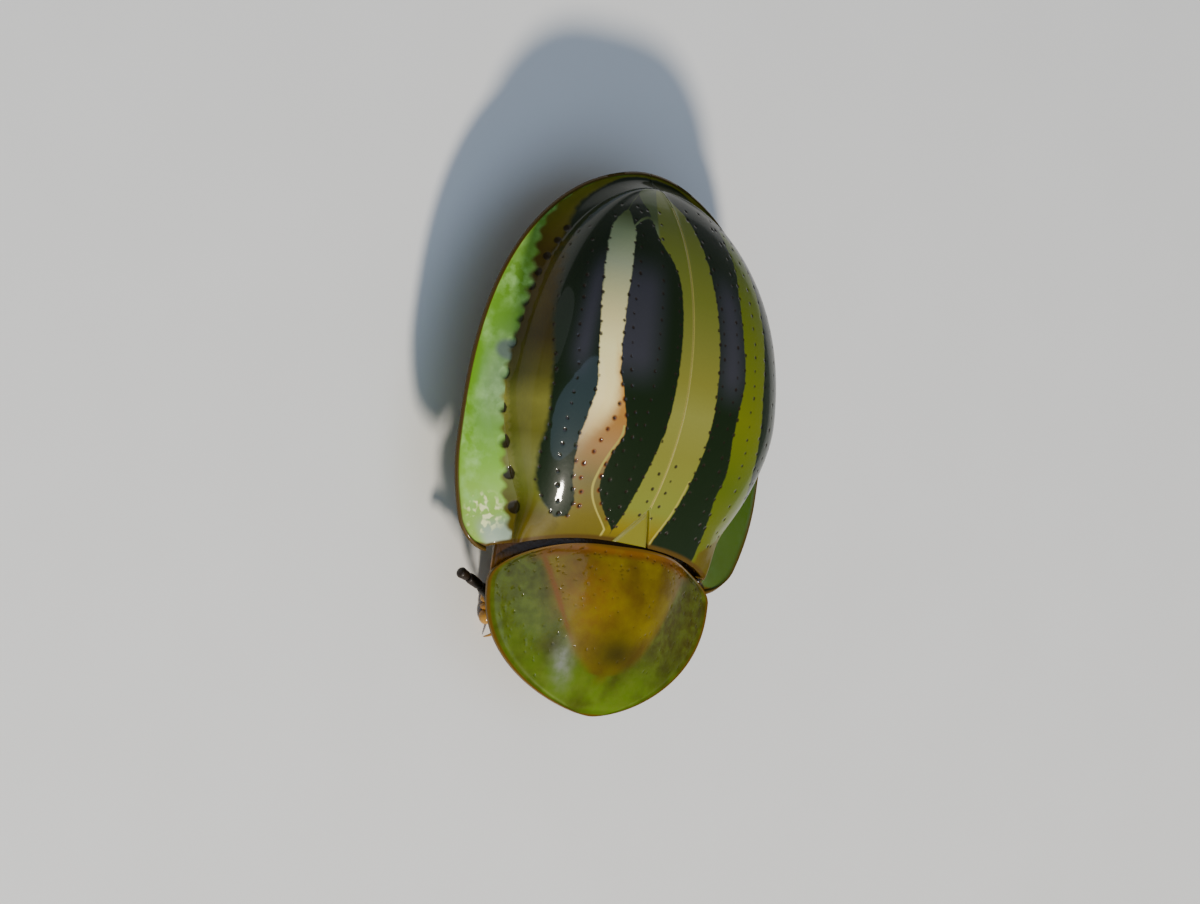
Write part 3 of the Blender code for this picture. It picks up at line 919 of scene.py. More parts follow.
@dataclass(frozen=True)
class Outline:
    """The plan and profile of the wing cases, which the plates and the trunk share."""

    apex_y: float = 3.5
    base_y: float = -1.27
    half_width: float = 2.52
    widest_y: float = -0.3
    edge_z: float = 1.28
    disc_z: float = 1.48
    rise: float = 1.15
    reach: float = 0.34
    corner: float = 0.32
    shoulder_x: float = 1.85
    shoulder_power: float = 2.6
    narrowing: float = 0.137
    rim_apex: float = 0.17
    rim_middle: float = 0.42
    rim_shoulder: float = 0.93
    rim_from_y: float = 0.6
    rim_tuck: float = 0.32
    tuck_from_y: float = -0.85
    power: float = 2.7
    root: float = 1.85
    peak_y: float = 0.78
    base_share: float = 0.38
    side_power: float = 3.0
    side_root: float = 0.33
    back_power: float = 2.1
    back_root: float = 0.75

    @property
    def shoulder_y(self) -> float:
        """The foremost point of the wing cases."""
        return self.base_y - self.reach

    @property
    def dome_end_y(self) -> float:
        """Where the dome meets the rim behind."""
        return self.apex_y - self.rim_apex

    def width_at(self, y: float, end: float, width: float) -> float:
        """Half the width of an outline.

        Args:
            y: the place along the beetle.
            end: where the outline closes.
            width: half its width where it is widest.

        Returns:
            Half the width at y.
        """
        if y > self.widest_y:
            share = min((y - self.widest_y) / (end - self.widest_y), 1)
            return width * (1 - share**self.power) ** (1 / self.root)
        forward = (self.widest_y - y) / (self.widest_y - self.base_y + self.reach)
        return width * (1 - self.narrowing * forward**2)

    def edge_at(self, y: float) -> float:
        """Half the width of the outer edge, with the rounded shoulder.

        Args:
            y: the place along the beetle.

        Returns:
            Half the width at y.
        """
        into = self.corner - (y - self.shoulder_y)
        lost = self.corner - math.sqrt(max(self.corner**2 - into**2, 0)) if into > 0 else 0
        return self.width_at(y, self.apex_y, self.half_width) - lost

    def disc_at(self, y: float) -> float:
        """Half the width of the dome, inside its rim.

        Args:
            y: the place along the beetle.

        Returns:
            Half the width at y.
        """
        into = smooth_step(self.rim_from_y, self.shoulder_y, y)
        rim = mix(self.rim_middle, self.rim_shoulder, into)
        rim -= self.rim_tuck * smooth_step(self.tuck_from_y, self.shoulder_y, y)
        if y > self.widest_y:
            width = self.half_width - self.rim_middle
            shape = self.width_at(min(y, self.dome_end_y), self.dome_end_y, width)
            return max(shape - (rim - self.rim_middle), 0)
        return self.width_at(y, self.dome_end_y, self.half_width) - rim

    def height_at(self, across: float, y: float) -> float:
        """Height of the dome.

        Args:
            across: the share of its half width, from 0 in the middle to 1 at its foot.
            y: the place along the beetle.

        Returns:
            The height above the floor.
        """
        if y > self.peak_y:
            share = min((y - self.peak_y) / (self.dome_end_y - self.peak_y), 1)
            along = (1 - share**self.back_power) ** self.back_root
        else:
            share = (self.peak_y - y) / (self.peak_y - self.base_y)
            along = 1 - (1 - self.base_share) * share**2
        side = (1 - min(across, 1) ** self.side_power) ** self.side_root
        return self.disc_z + self.rise * along * side

    def top(self, x: float, y: float) -> float:
        """Height of the dome over a plan point."""
        return self.height_at(min(abs(x) / max(self.disc_at(y), 1e-6), 1), y)

    def bend(self, x: float) -> float:
        """How far the front edge runs forward at x, towards the shoulder."""
        return -self.reach * min(abs(x) / self.shoulder_x, 1) ** self.shoulder_power


@dataclass
class WingCase:
    """One wing case, from the suture to its clear rim."""

    side: Side
    outline: Outline
    finish: bpy.types.Material
    columns: int = 170
    rows: int = 260
    dome_share: float = 0.82
    seam: float = 0.006
    thickness: float = 0.1
    rim_thickness: float = 0.05
    notch_half_width: float = 0.31
    notch_length: float = 0.48
    ridge_rise: float = 0.006
    ridge_width: float = 0.03
    fillet: float = 0.05
    fillet_width: float = 0.09
    fillet_fade: float = 0.6
    rim_dip: float = 0.05
    lip_rise: float = 0.03
    lip_width: float = 0.06
    first_pit: float = 0.16
    pit_stagger: float = 0.1
    pit_end: float = 0.4
    pit_step: float = 0.172
    pit_radius: float = 0.034
    pit_depth: float = 0.16
    flank_row: int = 9
    flank_end: float = 0.9
    flank_step: Curve = ((0.9, 0.4), (1.4, 0.2))
    flank_radius: Curve = ((0.9, 0.105), (1.4, 0.075))
    ramp_length: float = 4.8
    stripe_end_y: float = 2.93
    stripe_taper: float = 0.25
    seam_end_y: float = 3.3
    bridge_y: float = 2.88
    bridge_half_width: float = 0.02
    base_band: float = 0.28
    line_width: float = 0.016
    line_end_y: float = 3.1
    scallop: float = 0.022
    scallop_step: float = 0.2
    grey_blot_at: tuple[float, float] = (-2.06, 0.9)
    gold_at: tuple[float, float] = (-1.99, -1.19)
    pale_inner: Curve = (
        (-1.15, 0.25), (-0.91, 0.43), (-0.69, 0.51), (-0.44, 0.51), (-0.22, 0.48), (0.04, 0.42),
        (0.24, 0.43), (0.58, 0.49), (0.84, 0.54), (1.55, 0.57), (2.6, 0.58), (2.9, 0.64),
    )  # fmt: skip
    pale_outer: Curve = (
        (-1.02, 0.71), (-0.86, 0.7), (-0.62, 0.73), (-0.13, 0.73), (0.15, 0.7), (0.52, 0.67),
        (0.87, 0.69), (1.25, 0.72), (2.1, 0.78), (2.47, 0.81), (2.95, 0.86),
    )  # fmt: skip
    dark_inner: Curve = (
        (-1.15, 0.7), (-0.92, 0.66), (-0.54, 0.54), (-0.21, 0.52), (0.26, 0.45), (0.63, 0.45),
        (1.05, 0.48), (1.62, 0.47), (2.09, 0.5), (2.5, 0.59), (2.9, 0.66),
    )  # fmt: skip
    dark_outer: Curve = (
        (-1.1, 1.02), (-0.7, 0.98), (-0.39, 0.88), (-0.07, 0.78), (0.33, 0.71), (0.7, 0.68),
        (1.1, 0.68), (2.0, 0.74), (2.9, 0.86),
    )  # fmt: skip
    pale_seam: Curve = (
        (-1.2, 0.25), (-0.76, 0.2), (-0.3, 0.155), (0.3, 0.105), (2.0, 0.1), (2.35, 0.17),
        (2.61, 0.31), (2.87, 0.41), (3.01, 0.5), (3.1, 0.62), (3.25, 0.85),
    )  # fmt: skip
    dark_seam: Curve = (
        (-1.17, 0.2), (-0.8, 0.24), (2.5, 0.23), (2.75, 0.22), (3.02, 0.18), (3.22, 0.02),
    )  # fmt: skip
    flank_from: Curve = (
        (-1.2, 0.74), (-1.1, 0.82), (-1.02, 0.88), (-0.92, 0.93), (-0.74, 0.96), (-0.57, 0.955),
        (-0.29, 0.94), (0.05, 0.91), (0.72, 0.92), (1.46, 0.97), (2.24, 1.0), (2.55, 1.06),
        (2.95, 1.4), (3.2, 1.55), (3.4, 1.8),
    )  # fmt: skip
    rim_from: Curve = (
        (-1.4, 0.05), (-1.0, 0.17), (-0.6, 0.1), (0.2, 0.04), (1.44, 0.06), (1.87, 0.16), (2.27, 0.4),
        (2.59, 0.7), (3.0, 0.96),
    )  # fmt: skip
    flush_row: Curve = ((-0.95, 0.64), (-0.47, 0.68), (-0.27, 0.63), (0.06, 0.55), (0.45, 0.49))

    @property
    def pale(self) -> bool:
        """Whether this is the case whose stripe pales to cream."""
        return self.side is Side.RIGHT

    def inner_at(self, y: float) -> float:
        """The inner edge at y: along the suture, and round the scutellum."""
        share = (y - self.outline.base_y) / self.notch_length
        return max(self.seam, self.notch_half_width * max(1 - max(share, 0), 0))

    def fillet_at(self, away: float, width: float) -> float:
        """How high the rounded step stands, away from the foot of a dome of this half width."""
        return self.fillet * hump(away, self.fillet_width) * smooth_step(0, self.fillet_fade, width)

    def spot(self, u: float, v: float) -> Spot:
        """The smooth surface at u from suture to edge and v from base to apex.

        Args:
            u: 0 at the suture, 1 at the edge.
            v: 0 at the base, 1 at the apex.

        Returns:
            The point, and its share across the dome, which runs from 1 to 2 over the rim.
        """
        plan = self.outline
        along = eased(v)
        fade = (1 - along) ** 3
        line_y = mix(plan.base_y, plan.dome_end_y, along)
        dome_x = plan.disc_at(line_y + fade * plan.bend(plan.disc_at(plan.base_y)))
        if u <= self.dome_share:
            inner = self.inner_at(line_y)
            x = mix(inner, max(dome_x, inner), math.sin(u / self.dome_share * math.pi / 2))
            y = line_y + fade * plan.bend(x)
            width = plan.disc_at(y)
            share = min(x / max(width, 1e-6), 1)
            z = plan.height_at(share, y) + self.ridge_rise * hump(x - self.seam, self.ridge_width)
            z += self.fillet_at((1 - share) * width, width)
            return Vector((self.side.value * x, y, z)), share
        share = (u - self.dome_share) / (1 - self.dome_share)
        edge_y = mix(plan.base_y, plan.apex_y, along)
        edge_x = plan.edge_at(edge_y - fade * plan.reach)
        x = max(mix(dome_x, edge_x, share), self.seam)
        y = mix(line_y, edge_y, share) + fade * plan.bend(x)
        z = mix(plan.disc_z, plan.edge_z, share) - self.rim_dip * math.sin(math.pi * share)
        z += self.fillet_at(share * (edge_x - dome_x), dome_x)
        z += self.lip_rise * hump(1 - share, self.lip_width)
        return Vector((self.side.value * x, y, z)), 1 + share

    def stripe_at(self, y: float) -> tuple[float, float, float]:
        """Where the stripes lie at y, as shares across the dome.

        Args:
            y: the place along the wing case.

        Returns:
            The stripe's inner and outer edges, and the edge of the stripe along the suture.
        """
        if self.pale:
            curves = (self.pale_inner, self.pale_outer, self.pale_seam)
        else:
            curves = (self.dark_inner, self.dark_outer, self.dark_seam)
        inner, outer, seam = (along_curve(curve, y) for curve in curves)
        return inner, outer, seam

    def row_at(self, row: int, y: float) -> float:
        """How far across the dome a row of pits lies at y, or 2 where it has none.

        Args:
            row: the row's number, from the suture.
            y: the place along the wing case.

        Returns:
            The share across the dome.
        """
        inner, outer, seam = self.stripe_at(y)
        flank = along_curve(self.flank_from, y)
        if self.pale:
            middle = along_curve(self.flush_row, y) if -0.95 < y < 0.45 else 2
            first = 0.06 if y < -0.2 else 2
        else:
            middle = (inner + outer) / 2
            first = 0.07 if y < -0.1 else 2
        rows = (first, max(seam, 0.12), 0.28, inner - 0.07, inner, middle, outer)
        rows += ((outer + flank) / 2, flank - 0.01, 0.985)
        return rows[row]

    def pits(self) -> list[tuple[Vector, float]]:
        """The rows of pits, the outermost being the big ones of the flank.

        Returns:
            Each pit's middle and radius.
        """
        plan = self.outline
        chance = random.Random(11 + self.side.value)
        found = []
        for row in range(self.flank_row + 1):
            flank = row == self.flank_row
            y = plan.base_y + self.first_pit + chance.uniform(0, self.pit_stagger)
            while y < plan.apex_y - (self.flank_end if flank else self.pit_end):
                share = self.row_at(row, y) + chance.uniform(-0.008, 0.008)
                if share < 1.06:
                    share = 1.0 if flank else min(share, 0.99)
                    point = Vector((share * plan.disc_at(y), y, plan.height_at(share, y)))
                    point.x *= self.side.value
                    radius = along_curve(self.flank_radius, y) if flank else self.pit_radius
                    found.append((point, radius * chance.uniform(0.8, 1.1)))
                step = along_curve(self.flank_step, y) if flank else self.pit_step
                y += step * chance.uniform(0.85, 1.15)
        return found

    def stripes_at(self, y: float, front: float, across: float) -> float:
        """How far a place lies inside the stripes and the pale base, in millimetres.

        Args:
            y: the place along the wing case.
            front: how far it lies behind the front edge.
            across: its share across the dome.

        Returns:
            The depth inside, below zero outside.
        """
        width = max(self.outline.disc_at(y), 0.05)
        inner, outer, seam_to = self.stripe_at(y)
        taper = math.sqrt(min(max((self.stripe_end_y - y) / self.stripe_taper, 0), 1))
        band = (outer - inner) * width / 2 * taper - abs(across - (inner + outer) / 2) * width
        seam = min((seam_to - across) * width, (self.seam_end_y - y) * 0.8)
        bridge = self.bridge_half_width - abs(y - self.bridge_y + 5.5 * (across - 0.45) ** 2)
        bridge = min(bridge, (0.68 - across) * width) if self.pale else -0.1
        base = self.base_band + 0.02 * math.sin(11 * across) - front
        base = min(base, (across - (0.5 if self.pale else 0.85)) * width)
        return max(band, seam, bridge, base)

    def lines_at(self, point: Vector, across: float) -> float:
        """How far a place lies inside the fine pale lines, in millimetres.

        Args:
            point: the place.
            across: its share across the dome.

        Returns:
            The depth inside, below zero outside.
        """
        y, none = point.y, -0.1
        width = max(self.outline.disc_at(y), 0.05)
        inner, _, seam_to = self.stripe_at(y)
        along_seam = self.outline.base_y + self.notch_length < y < self.line_end_y
        line = self.line_width - abs(point.x) if along_seam else none
        if self.pale and y < 0.15:
            away = mix(0.12, 0.03, smooth_step(-0.9, -0.1, y))
            return max(line, none, 0.016 - abs((across - inner) * width - away))
        if not self.pale and y < -0.35:
            return max(line, none, 0.012 - abs((seam_to - across) * width - 0.03))
        return max(line, none)

    def tints(self, point: Vector, front: float, across: float) -> dict[str, float]:
        """How much of each soft tint a place has.

        Args:
            point: the place.
            front: how far it lies behind the front edge.
            across: its share across the dome, from 1 to 2 over the rim.

        Returns:
            A value for each named tint, "blush" in millimetres.
        """
        y, rim = point.y, across - 1
        inner, outer, _ = self.stripe_at(y)
        # Painted reflection: a band of violet-grey sheen on the black beside the stripes, fading towards
        # both ends of the case
        smoke = hump(across - 0.36, 0.12)
        if self.pale:
            smoke = hump(across - 0.8, 0.06)
            if across < inner + 0.03:
                smoke = smooth_step(0.16, 0.42, across)
        silver = 0.85 * smooth_step(0.46, 0.2, front) * smooth_step(0.8, 0.4, rim)
        silver = max(silver, 0.35 * smooth_step(0.85, 0.2, rim) * hump(y - 0.5, 0.6))
        reach = mix(1.05, 0.1, smooth_step(-0.55, 0.8, y))
        inwards = (outer - across) / max(outer - inner, 0.05)
        blush = min((inwards - 1 + reach) * 0.3, (0.95 - y) * 0.2, (y + 1.1) * 0.2)
        bruise, gold = (
            math.hypot(point.x - x, y - middle) for x, middle in (self.grey_blot_at, self.gold_at)
        )
        return {
            "cream": float(self.pale) * smooth_step(0.3, 0.34, across),
            # Partly painted shade: the outer stripe of the left case in a darker olive
            "olive": 0.0 if self.pale else smooth_step(0.36, 0.42, across),
            "blush": blush if self.pale and across > 0.3 else -0.2,
            "smoke": smooth_step(0.5, 1.1, y) * smooth_step(2.5, 1.9, y) * smoke,
            # Painted shade: the rim of the left case is darkened as the side away from the light
            "far": 0.0 if self.pale else 0.9,
            "silver": silver if rim > 0 and self.pale else 0.0,
            "gold": smooth_step(0.34, 0.14, gold),
            "bruise": 0.85 * smooth_step(0.17, 0.1, bruise),
        }

    def marks(self, point: Vector, across: float) -> dict[str, float]:
        """How far a place lies inside each zone of the pattern, in millimetres.

        Args:
            point: the place.
            across: its share across the dome, from 1 to 2 over the rim.

        Returns:
            A value for each named zone.
        """
        plan, y, rim = self.outline, point.y, across - 1
        width = max(plan.disc_at(y), 0.05)
        brim = max(plan.edge_at(y) - width, 0.1)
        front = y - plan.base_y - plan.bend(point.x)
        flank_from = along_curve(self.flank_from, y)
        flank = (min(across, 1) - min(flank_from, 1)) * width
        flank += (max(rim, 0) - max(flank_from - 1, 0)) * brim
        clear = (rim - along_curve(self.rim_from, y)) * brim
        clear += self.scallop * math.cos(2 * math.pi * y / self.scallop_step)
        return {
            "stripe": self.stripes_at(y, front, across),
            "amber": flank,
            "rim": clear if rim > 0 else -0.2,
            "edge": max(smooth_step(0.93, 0.985, rim), smooth_step(0.07, 0.03, front)),
            "along": (plan.apex_y - y) / self.ramp_length,
            "line": self.lines_at(point, across),
            **self.tints(point, front, across),
        }

    def build(self) -> bpy.types.Object:
        """Builds the wing case.

        Returns:
            The piece.
        """
        shape, spots, normals = sheet(self.columns, self.rows, self.spot, self.marks, self.pale)
        skin = [
            (point, normal, mix(self.thickness, self.rim_thickness, min(max(8 * (across - 1), 0), 1)))
            for (point, across), normal in zip(spots, normals)
        ]
        sunk(shape, self.pits(), self.pit_depth, normals)
        walled(shape, skin)
        node = f"elytron_{self.side.word}"
        return piece(f"wing_case_{self.side.word}", shape, self.finish, (node,))


@dataclass
class Scutellum:
    """The small three-cornered plate between the wing cases at their base."""

    outline: Outline
    finish: bpy.types.Material
    half_width: float = 0.3
    length: float = 0.46
    tip_share: float = 0.97
    thickness: float = 0.12
    rise: float = 0.012
    edge_drop: float = 0.04
    edge_share: float = 0.12
    line_half_width: float = 0.004
    line_inside: float = 0.03

    def build(self) -> bpy.types.Object:
        """Builds the plate.

        Returns:
            The piece.
        """
        plan = self.outline
        shape = bmesh.new()
        bmesh.ops.create_grid(shape, x_segments=32, y_segments=40, size=0.5)
        for vert in shape.verts:
            u, v = vert.co.x * 2, vert.co.y + 0.5
            y = plan.base_y + self.length * v * self.tip_share
            x = self.half_width * (1 - v * self.tip_share) * u
            edge = min(1 - abs(u), 1) * (1 - v)
            z = plan.top(x, y) + self.rise - self.edge_drop * hump(edge, self.edge_share)
            vert.co = Vector((x, y, z))
        shape.normal_update()
        walled(shape, [(v.co.copy(), v.normal.copy(), self.thickness) for v in shape.verts])
        flat = {"stripe": 0.1, "along": 0.93, "pit": -0.1, "rim": -0.2, "amber": -0.2, "blush": -0.2}
        for name, value in flat.items():
            marked(shape, name, lambda _, value=value: value)
        marked(shape, "line", self.line_at)
        return piece("scutellum_plate", shape, self.finish, ("scutellum",))

    def line_at(self, point: Vector) -> float:
        """How far a point lies inside the pale line that runs along the plate's sides.

        Args:
            point: the place.

        Returns:
            The depth inside in millimetres, below zero outside.
        """
        share = (point.y - self.outline.base_y) / self.length
        inside = self.half_width * (1 - share) - abs(point.x)
        return self.line_half_width - abs(inside - self.line_inside)


@dataclass(frozen=True)
class Blot:
    """A soft spot of a tint: its middle, its size in millimetres, its strength and its form."""

    x: float
    y: float
    size: float
    strength: float
    narrow: float = 1.0
    short: float = 1.0
    slant: float = 0.0

    def at(self, point: Vector) -> float:
        """How strong the tint is.

        Args:
            point: the place.

        Returns:
            The strength there.
        """
        along = point.y - self.y
        across = self.narrow * (point.x - self.x + self.slant * along)
        return self.strength * hump(math.hypot(across, self.short * along), self.size)


@dataclass
class Pronotum:
    """The shield over the head, which ends in a thin clear edge all round."""

    outline: Outline
    neck: Neck
    finish: bpy.types.Material
    front_y: float = -3.5
    base_y: float = -1.39
    half_width: float = 1.85
    widest_y: float = -1.92
    base_power: float = 2.2
    base_root: float = 2.6
    front_power: float = 2.33
    front_root: float = 1.5
    edge_z: float = 1.32
    rise: float = 0.6
    dome_half_width: float = 1.3
    dome_length: float = 1.65
    thickness: float = 0.12
    rim_thickness: float = 0.05
    rim_groove: float = 0.01
    groove_inside: float = 0.1
    groove_width: float = 0.05
    columns: int = 190
    rows: int = 150
    disc: Curve = ((-2.98, 0.0), (-2.93, 0.2), (-2.56, 0.62), (-1.39, 1.24))
    disc_front_y: float = -2.96
    rusty: Blot = Blot(-0.5, -1.95, 0.55, 0.6)
    # Painted shade: the first blot is a shadow on the front slope of the disc, the second a dark band at
    # the foot of the disc on the beetle's right, beside the painted highlight
    dark: Blot = Blot(0.1, -2.68, 0.34, 0.9, narrow=0.8, short=1.2)
    shaded_band: Blot = Blot(-0.84, -2.6, 0.17, 0.65, short=0.7)
    # Painted highlight: a streaky silvery reflection on the front slope of the shield
    highlight_spot: Blot = Blot(-0.66, -2.84, 0.13, 0.85, short=0.5, slant=0.2)
    pit_count: int = 260
    pit_radius: float = 0.022
    pit_depth: float = 0.3
    pit_clear: float = 0.08

    def width_at(self, y: float) -> float:
        """Half the width of the shield.

        Args:
            y: the place along the beetle.

        Returns:
            Half the width at y.
        """
        if y > self.widest_y:
            share = min((y - self.widest_y) / (self.base_y - self.widest_y), 1)
            return self.half_width * (1 - share**self.base_power) ** (1 / self.base_root)
        share = min((self.widest_y - y) / (self.widest_y - self.front_y), 1)
        return self.half_width * (1 - share**self.front_power) ** (1 / self.front_root)

    def top(self, x: float, y: float) -> float:
        """Height of the shield over a plan point."""
        reach = math.hypot((self.base_y - y) / self.dome_length, x / self.dome_half_width)
        return self.edge_z + self.rise / (1 + (1.05 * reach) ** 4)

    def lean(self, x: float) -> float:
        """How far the base runs forward at x for each millimetre behind the widest place."""
        close = 0.15 + 0.1 * smooth_step(0, -1.1, x) - 0.06 * smooth_step(0, 1.2, x)
        return self.outline.bend(x) + close

    def base_at(self, x: float) -> float:
        """Where the shield's base lies at x."""
        share = (1 - min(abs(x) / self.half_width, 1) ** self.base_root) ** (1 / self.base_power)
        return self.widest_y + (self.base_y - self.widest_y) * share * (1 + self.lean(x))

    def spot(self, u: float, v: float) -> Spot:
        """The smooth surface at u from side to side and v from front to base.

        Args:
            u: 0 at the right edge, 1 at the left.
            v: 0 at the front, 1 at the base.

        Returns:
            The point, and how far it lies inside the edge, in millimetres.
        """
        line_y = mix(self.front_y, self.base_y, eased(v))
        width = self.width_at(line_y)
        x = width * math.sin((u - 0.5) * math.pi)
        y = line_y + max(line_y - self.widest_y, 0) * self.lean(x)
        inside = min(width - abs(x), (line_y - self.front_y) * 1.2, (self.base_y - line_y) * 1.2)
        groove = self.rim_groove * hump(inside - self.groove_inside, self.groove_width)
        return Vector((x, y, self.top(x, y) - groove)), inside

    def pits(self) -> list[tuple[Vector, float]]:
        """Fine pits over the shield, thickest towards its base.

        Returns:
            Each pit's middle and radius.
        """
        chance = random.Random(5)
        found = []
        while len(found) < self.pit_count:
            v = chance.random() ** 0.6
            point, inside = self.spot(chance.uniform(0.12, 0.88), mix(0.3, 0.93, v))
            if inside > self.pit_clear:
                found.append((point, self.pit_radius * chance.uniform(0.7, 1.25)))
        return found

    def marks(self, point: Vector, inside: float) -> dict[str, float]:
        """How much of each tint a place has.

        Args:
            point: the place.
            inside: how far it lies inside the edge, in millimetres.

        Returns:
            A value for each tint: "margin" is how far out of the disc it lies, in millimetres.
        """
        x, y = point.x, point.y
        margin = max(abs(x) - along_curve(self.disc, y), self.disc_front_y - y)
        back = self.base_at(x) - y
        rim = hump(margin, 0.05) * smooth_step(-3.0, -2.2, y) * (0.9 if x < 0 else 0.35)
        base = 0.8 * smooth_step(0.22, 0.08, back)
        # Painted highlight: a thin pale line along the base, on the beetle's left half
        highlight_line = 0.6 * smooth_step(0.035, 0.015, back) * smooth_step(0.0, 0.4, x)
        dark_hem = 0.5 * smooth_step(0.05, 0.02, back) * (x < 0.2)
        # Painted shade: the clear margin darker and browner towards the beetle's left, the side away from
        # the light
        shaded = 0.6 * smooth_step(0.1, 1.1, x) * smooth_step(-3.2, -2.3, y)
        return {
            "margin": margin,
            "rust": max(rim, self.rusty.at(point), base) * smooth_step(1.5, 1.1, abs(x)),
            # Painted shade from the two dark blots
            "shade": max(self.dark.at(point), self.shaded_band.at(point)),
            # Here the silver value is painted highlight
            "silver": max(self.highlight_spot.at(point), highlight_line),
            "edge": max(smooth_step(0.055, 0.02, inside), dark_hem),
            "fore": (self.base_y - y) / (self.base_y - self.front_y) - shaded,
        }

    def build(self) -> bpy.types.Object:
        """Builds the shield.

        Returns:
            The piece.
        """
        shape, spots, normals = sheet(self.columns, self.rows, self.spot, self.marks)
        skin = [
            (
                point,
                normal.lerp(Vector((0, 0, 1)), smooth_step(0.2, 0.02, inside)).normalized(),
                mix(self.rim_thickness, self.thickness, smooth_step(0.1, 0.8, inside)),
            )
            for (point, inside), normal in zip(spots, normals)
        ]
        sunk(shape, self.pits(), self.pit_depth, normals)
        walled(shape, skin)
        return piece("pronotum_shield", self.neck.turned(shape), self.finish, ("pronotum",))


# The body under the shield


@dataclass
class Trunk:
    """Prothorax, thorax and abdomen, with their plates and grooves."""

    outline: Outline
    shield: Pronotum
    finish: bpy.types.Material
    side_z: float = 1.1
    venter_z: float = 0.95
    belly_drop: float = 0.07
    clear: float = 0.16
    neck_front_y: float = -1.95
    neck_half_width: float = 1.25
    neck_base_half_width: float = 1.5
    base_y: float = -1.5
    neck_gap: float = 0.05
    thorax_front_y: float = -1.2
    waist_y: float = 0.93
    waist_gap: float = 0.02
    end_y: float = 3.05
    side_gap: float = 0.12
    ventrites: int = 5
    groove: float = 0.05
    groove_share: float = 0.09
    groove_dark: float = 0.8
    columns: int = 72
    rows_per_plate: int = 24

    def under_shield(self, y: float) -> float:
        """Half the width of the trunk under the shield, where it spreads towards the wing cases."""
        spread = smooth_step(self.neck_front_y, self.base_y, y)
        return mix(self.neck_half_width, self.neck_base_half_width, spread)

    def under_wings(self, y: float) -> float:
        """Half the width of the trunk where the wing cases close round it."""
        return max(self.outline.disc_at(y) - self.side_gap, 0.2)

    def block(
        self,
        name: str,
        front: float,
        end: float,
        half_width: Callable[[float], float],
        roof: Callable[[float, float], float],
        bands: int,
        groove: float,
    ) -> bpy.types.Object:
        """Builds one block of the trunk.

        Args:
            name: the piece's and the solid's name.
            front: where it starts.
            end: where it ends.
            half_width: half its width at y.
            roof: the height over a plan point that it stays clear of.
            bands: how many plates it has below.
            groove: how deep the grooves between them are.

        Returns:
            The piece.
        """

        def place(share: float, angle: float) -> Vector:
            """The block's skin.

            Args:
                share: the share of its length, from 0 to 1.
                angle: the angle round it.

            Returns:
                The point.
            """
            y = mix(front, end, share)
            closing = max(1 - abs(2 * share - 1) ** 14, 0) ** 0.5
            band = share * bands
            near = 0.0
            if 0.5 < band < bands - 0.5:
                near = hump(band - round(band), self.groove_share) * groove
            width = (half_width(y) - near * 0.4) * closing
            across, up = math.cos(angle), math.sin(angle)
            x = width * math.copysign(abs(across) ** 0.75, across)
            top = max(roof(x, y) - self.clear, self.side_z + 0.02)
            hollow = 1 - min(abs(x) / max(half_width(y), 0.1), 1) ** 2
            low = self.venter_z - self.belly_drop * hollow + near
            level = mix(self.side_z, top, up**0.8) if up >= 0 else mix(self.side_z, low, (-up) ** 0.6)
            return Vector((x, y, mix(self.side_z - 0.03, level, closing)))

        def groove_at(point: Vector) -> float:
            """How dark a point is for lying in a groove between two plates."""
            band = (point.y - front) / (end - front) * bands
            return self.groove_dark * hump(band - round(band), 0.07)

        shape = wrapped(self.columns, self.rows_per_plate * bands, place)
        marked(shape, "joint", groove_at)
        return piece(name + "_body", shape, self.finish, (name,))

    def build(self) -> list[bpy.types.Object]:
        """Builds the three blocks.

        Returns:
            The pieces.
        """
        neck_end = self.thorax_front_y - self.neck_gap
        belly = self.waist_y + self.waist_gap
        shield, wings = (self.under_shield, self.shield.top), (self.under_wings, self.outline.top)
        return [
            self.block("prothorax", self.neck_front_y, neck_end, *shield, 1, 0.0),
            self.block("thorax", self.thorax_front_y, self.waist_y, *wings, 2, self.groove),
            self.block("abdomen", belly, self.end_y, *wings, self.ventrites, self.groove),
        ]


@dataclass
class NeckSkin:
    """The tough brown skin that closes the joint between the shield and the wing cases."""

    outline: Outline
    shield: Pronotum
    finish: bpy.types.Material
    half_width: float = 1.72
    front_y: float = -1.8
    base_y: float = -1.2
    follow: float = 0.5
    clear: float = 0.11
    thickness: float = 0.05

    def build(self) -> bpy.types.Object:
        """Builds the skin.

        Returns:
            The piece.
        """
        shape = bmesh.new()
        bmesh.ops.create_grid(shape, x_segments=72, y_segments=16, size=0.5)
        for vert in shape.verts:
            x = 2 * vert.co.x * self.half_width
            y = mix(self.front_y, self.base_y, vert.co.y + 0.5) + self.follow * self.outline.bend(x)
            roof = min(self.outline.top(x, max(y, self.outline.base_y)), self.shield.top(x, y))
            vert.co = Vector((x, y, roof - self.clear))
        shape.normal_update()
        walled(shape, [(v.co.copy(), v.normal.copy(), self.thickness) for v in shape.verts])
        marked(shape, "joint", lambda co: smooth_step(-1.5, -1.38, co.y - self.outline.bend(co.x)))
        return piece("neck_skin", shape, self.finish)


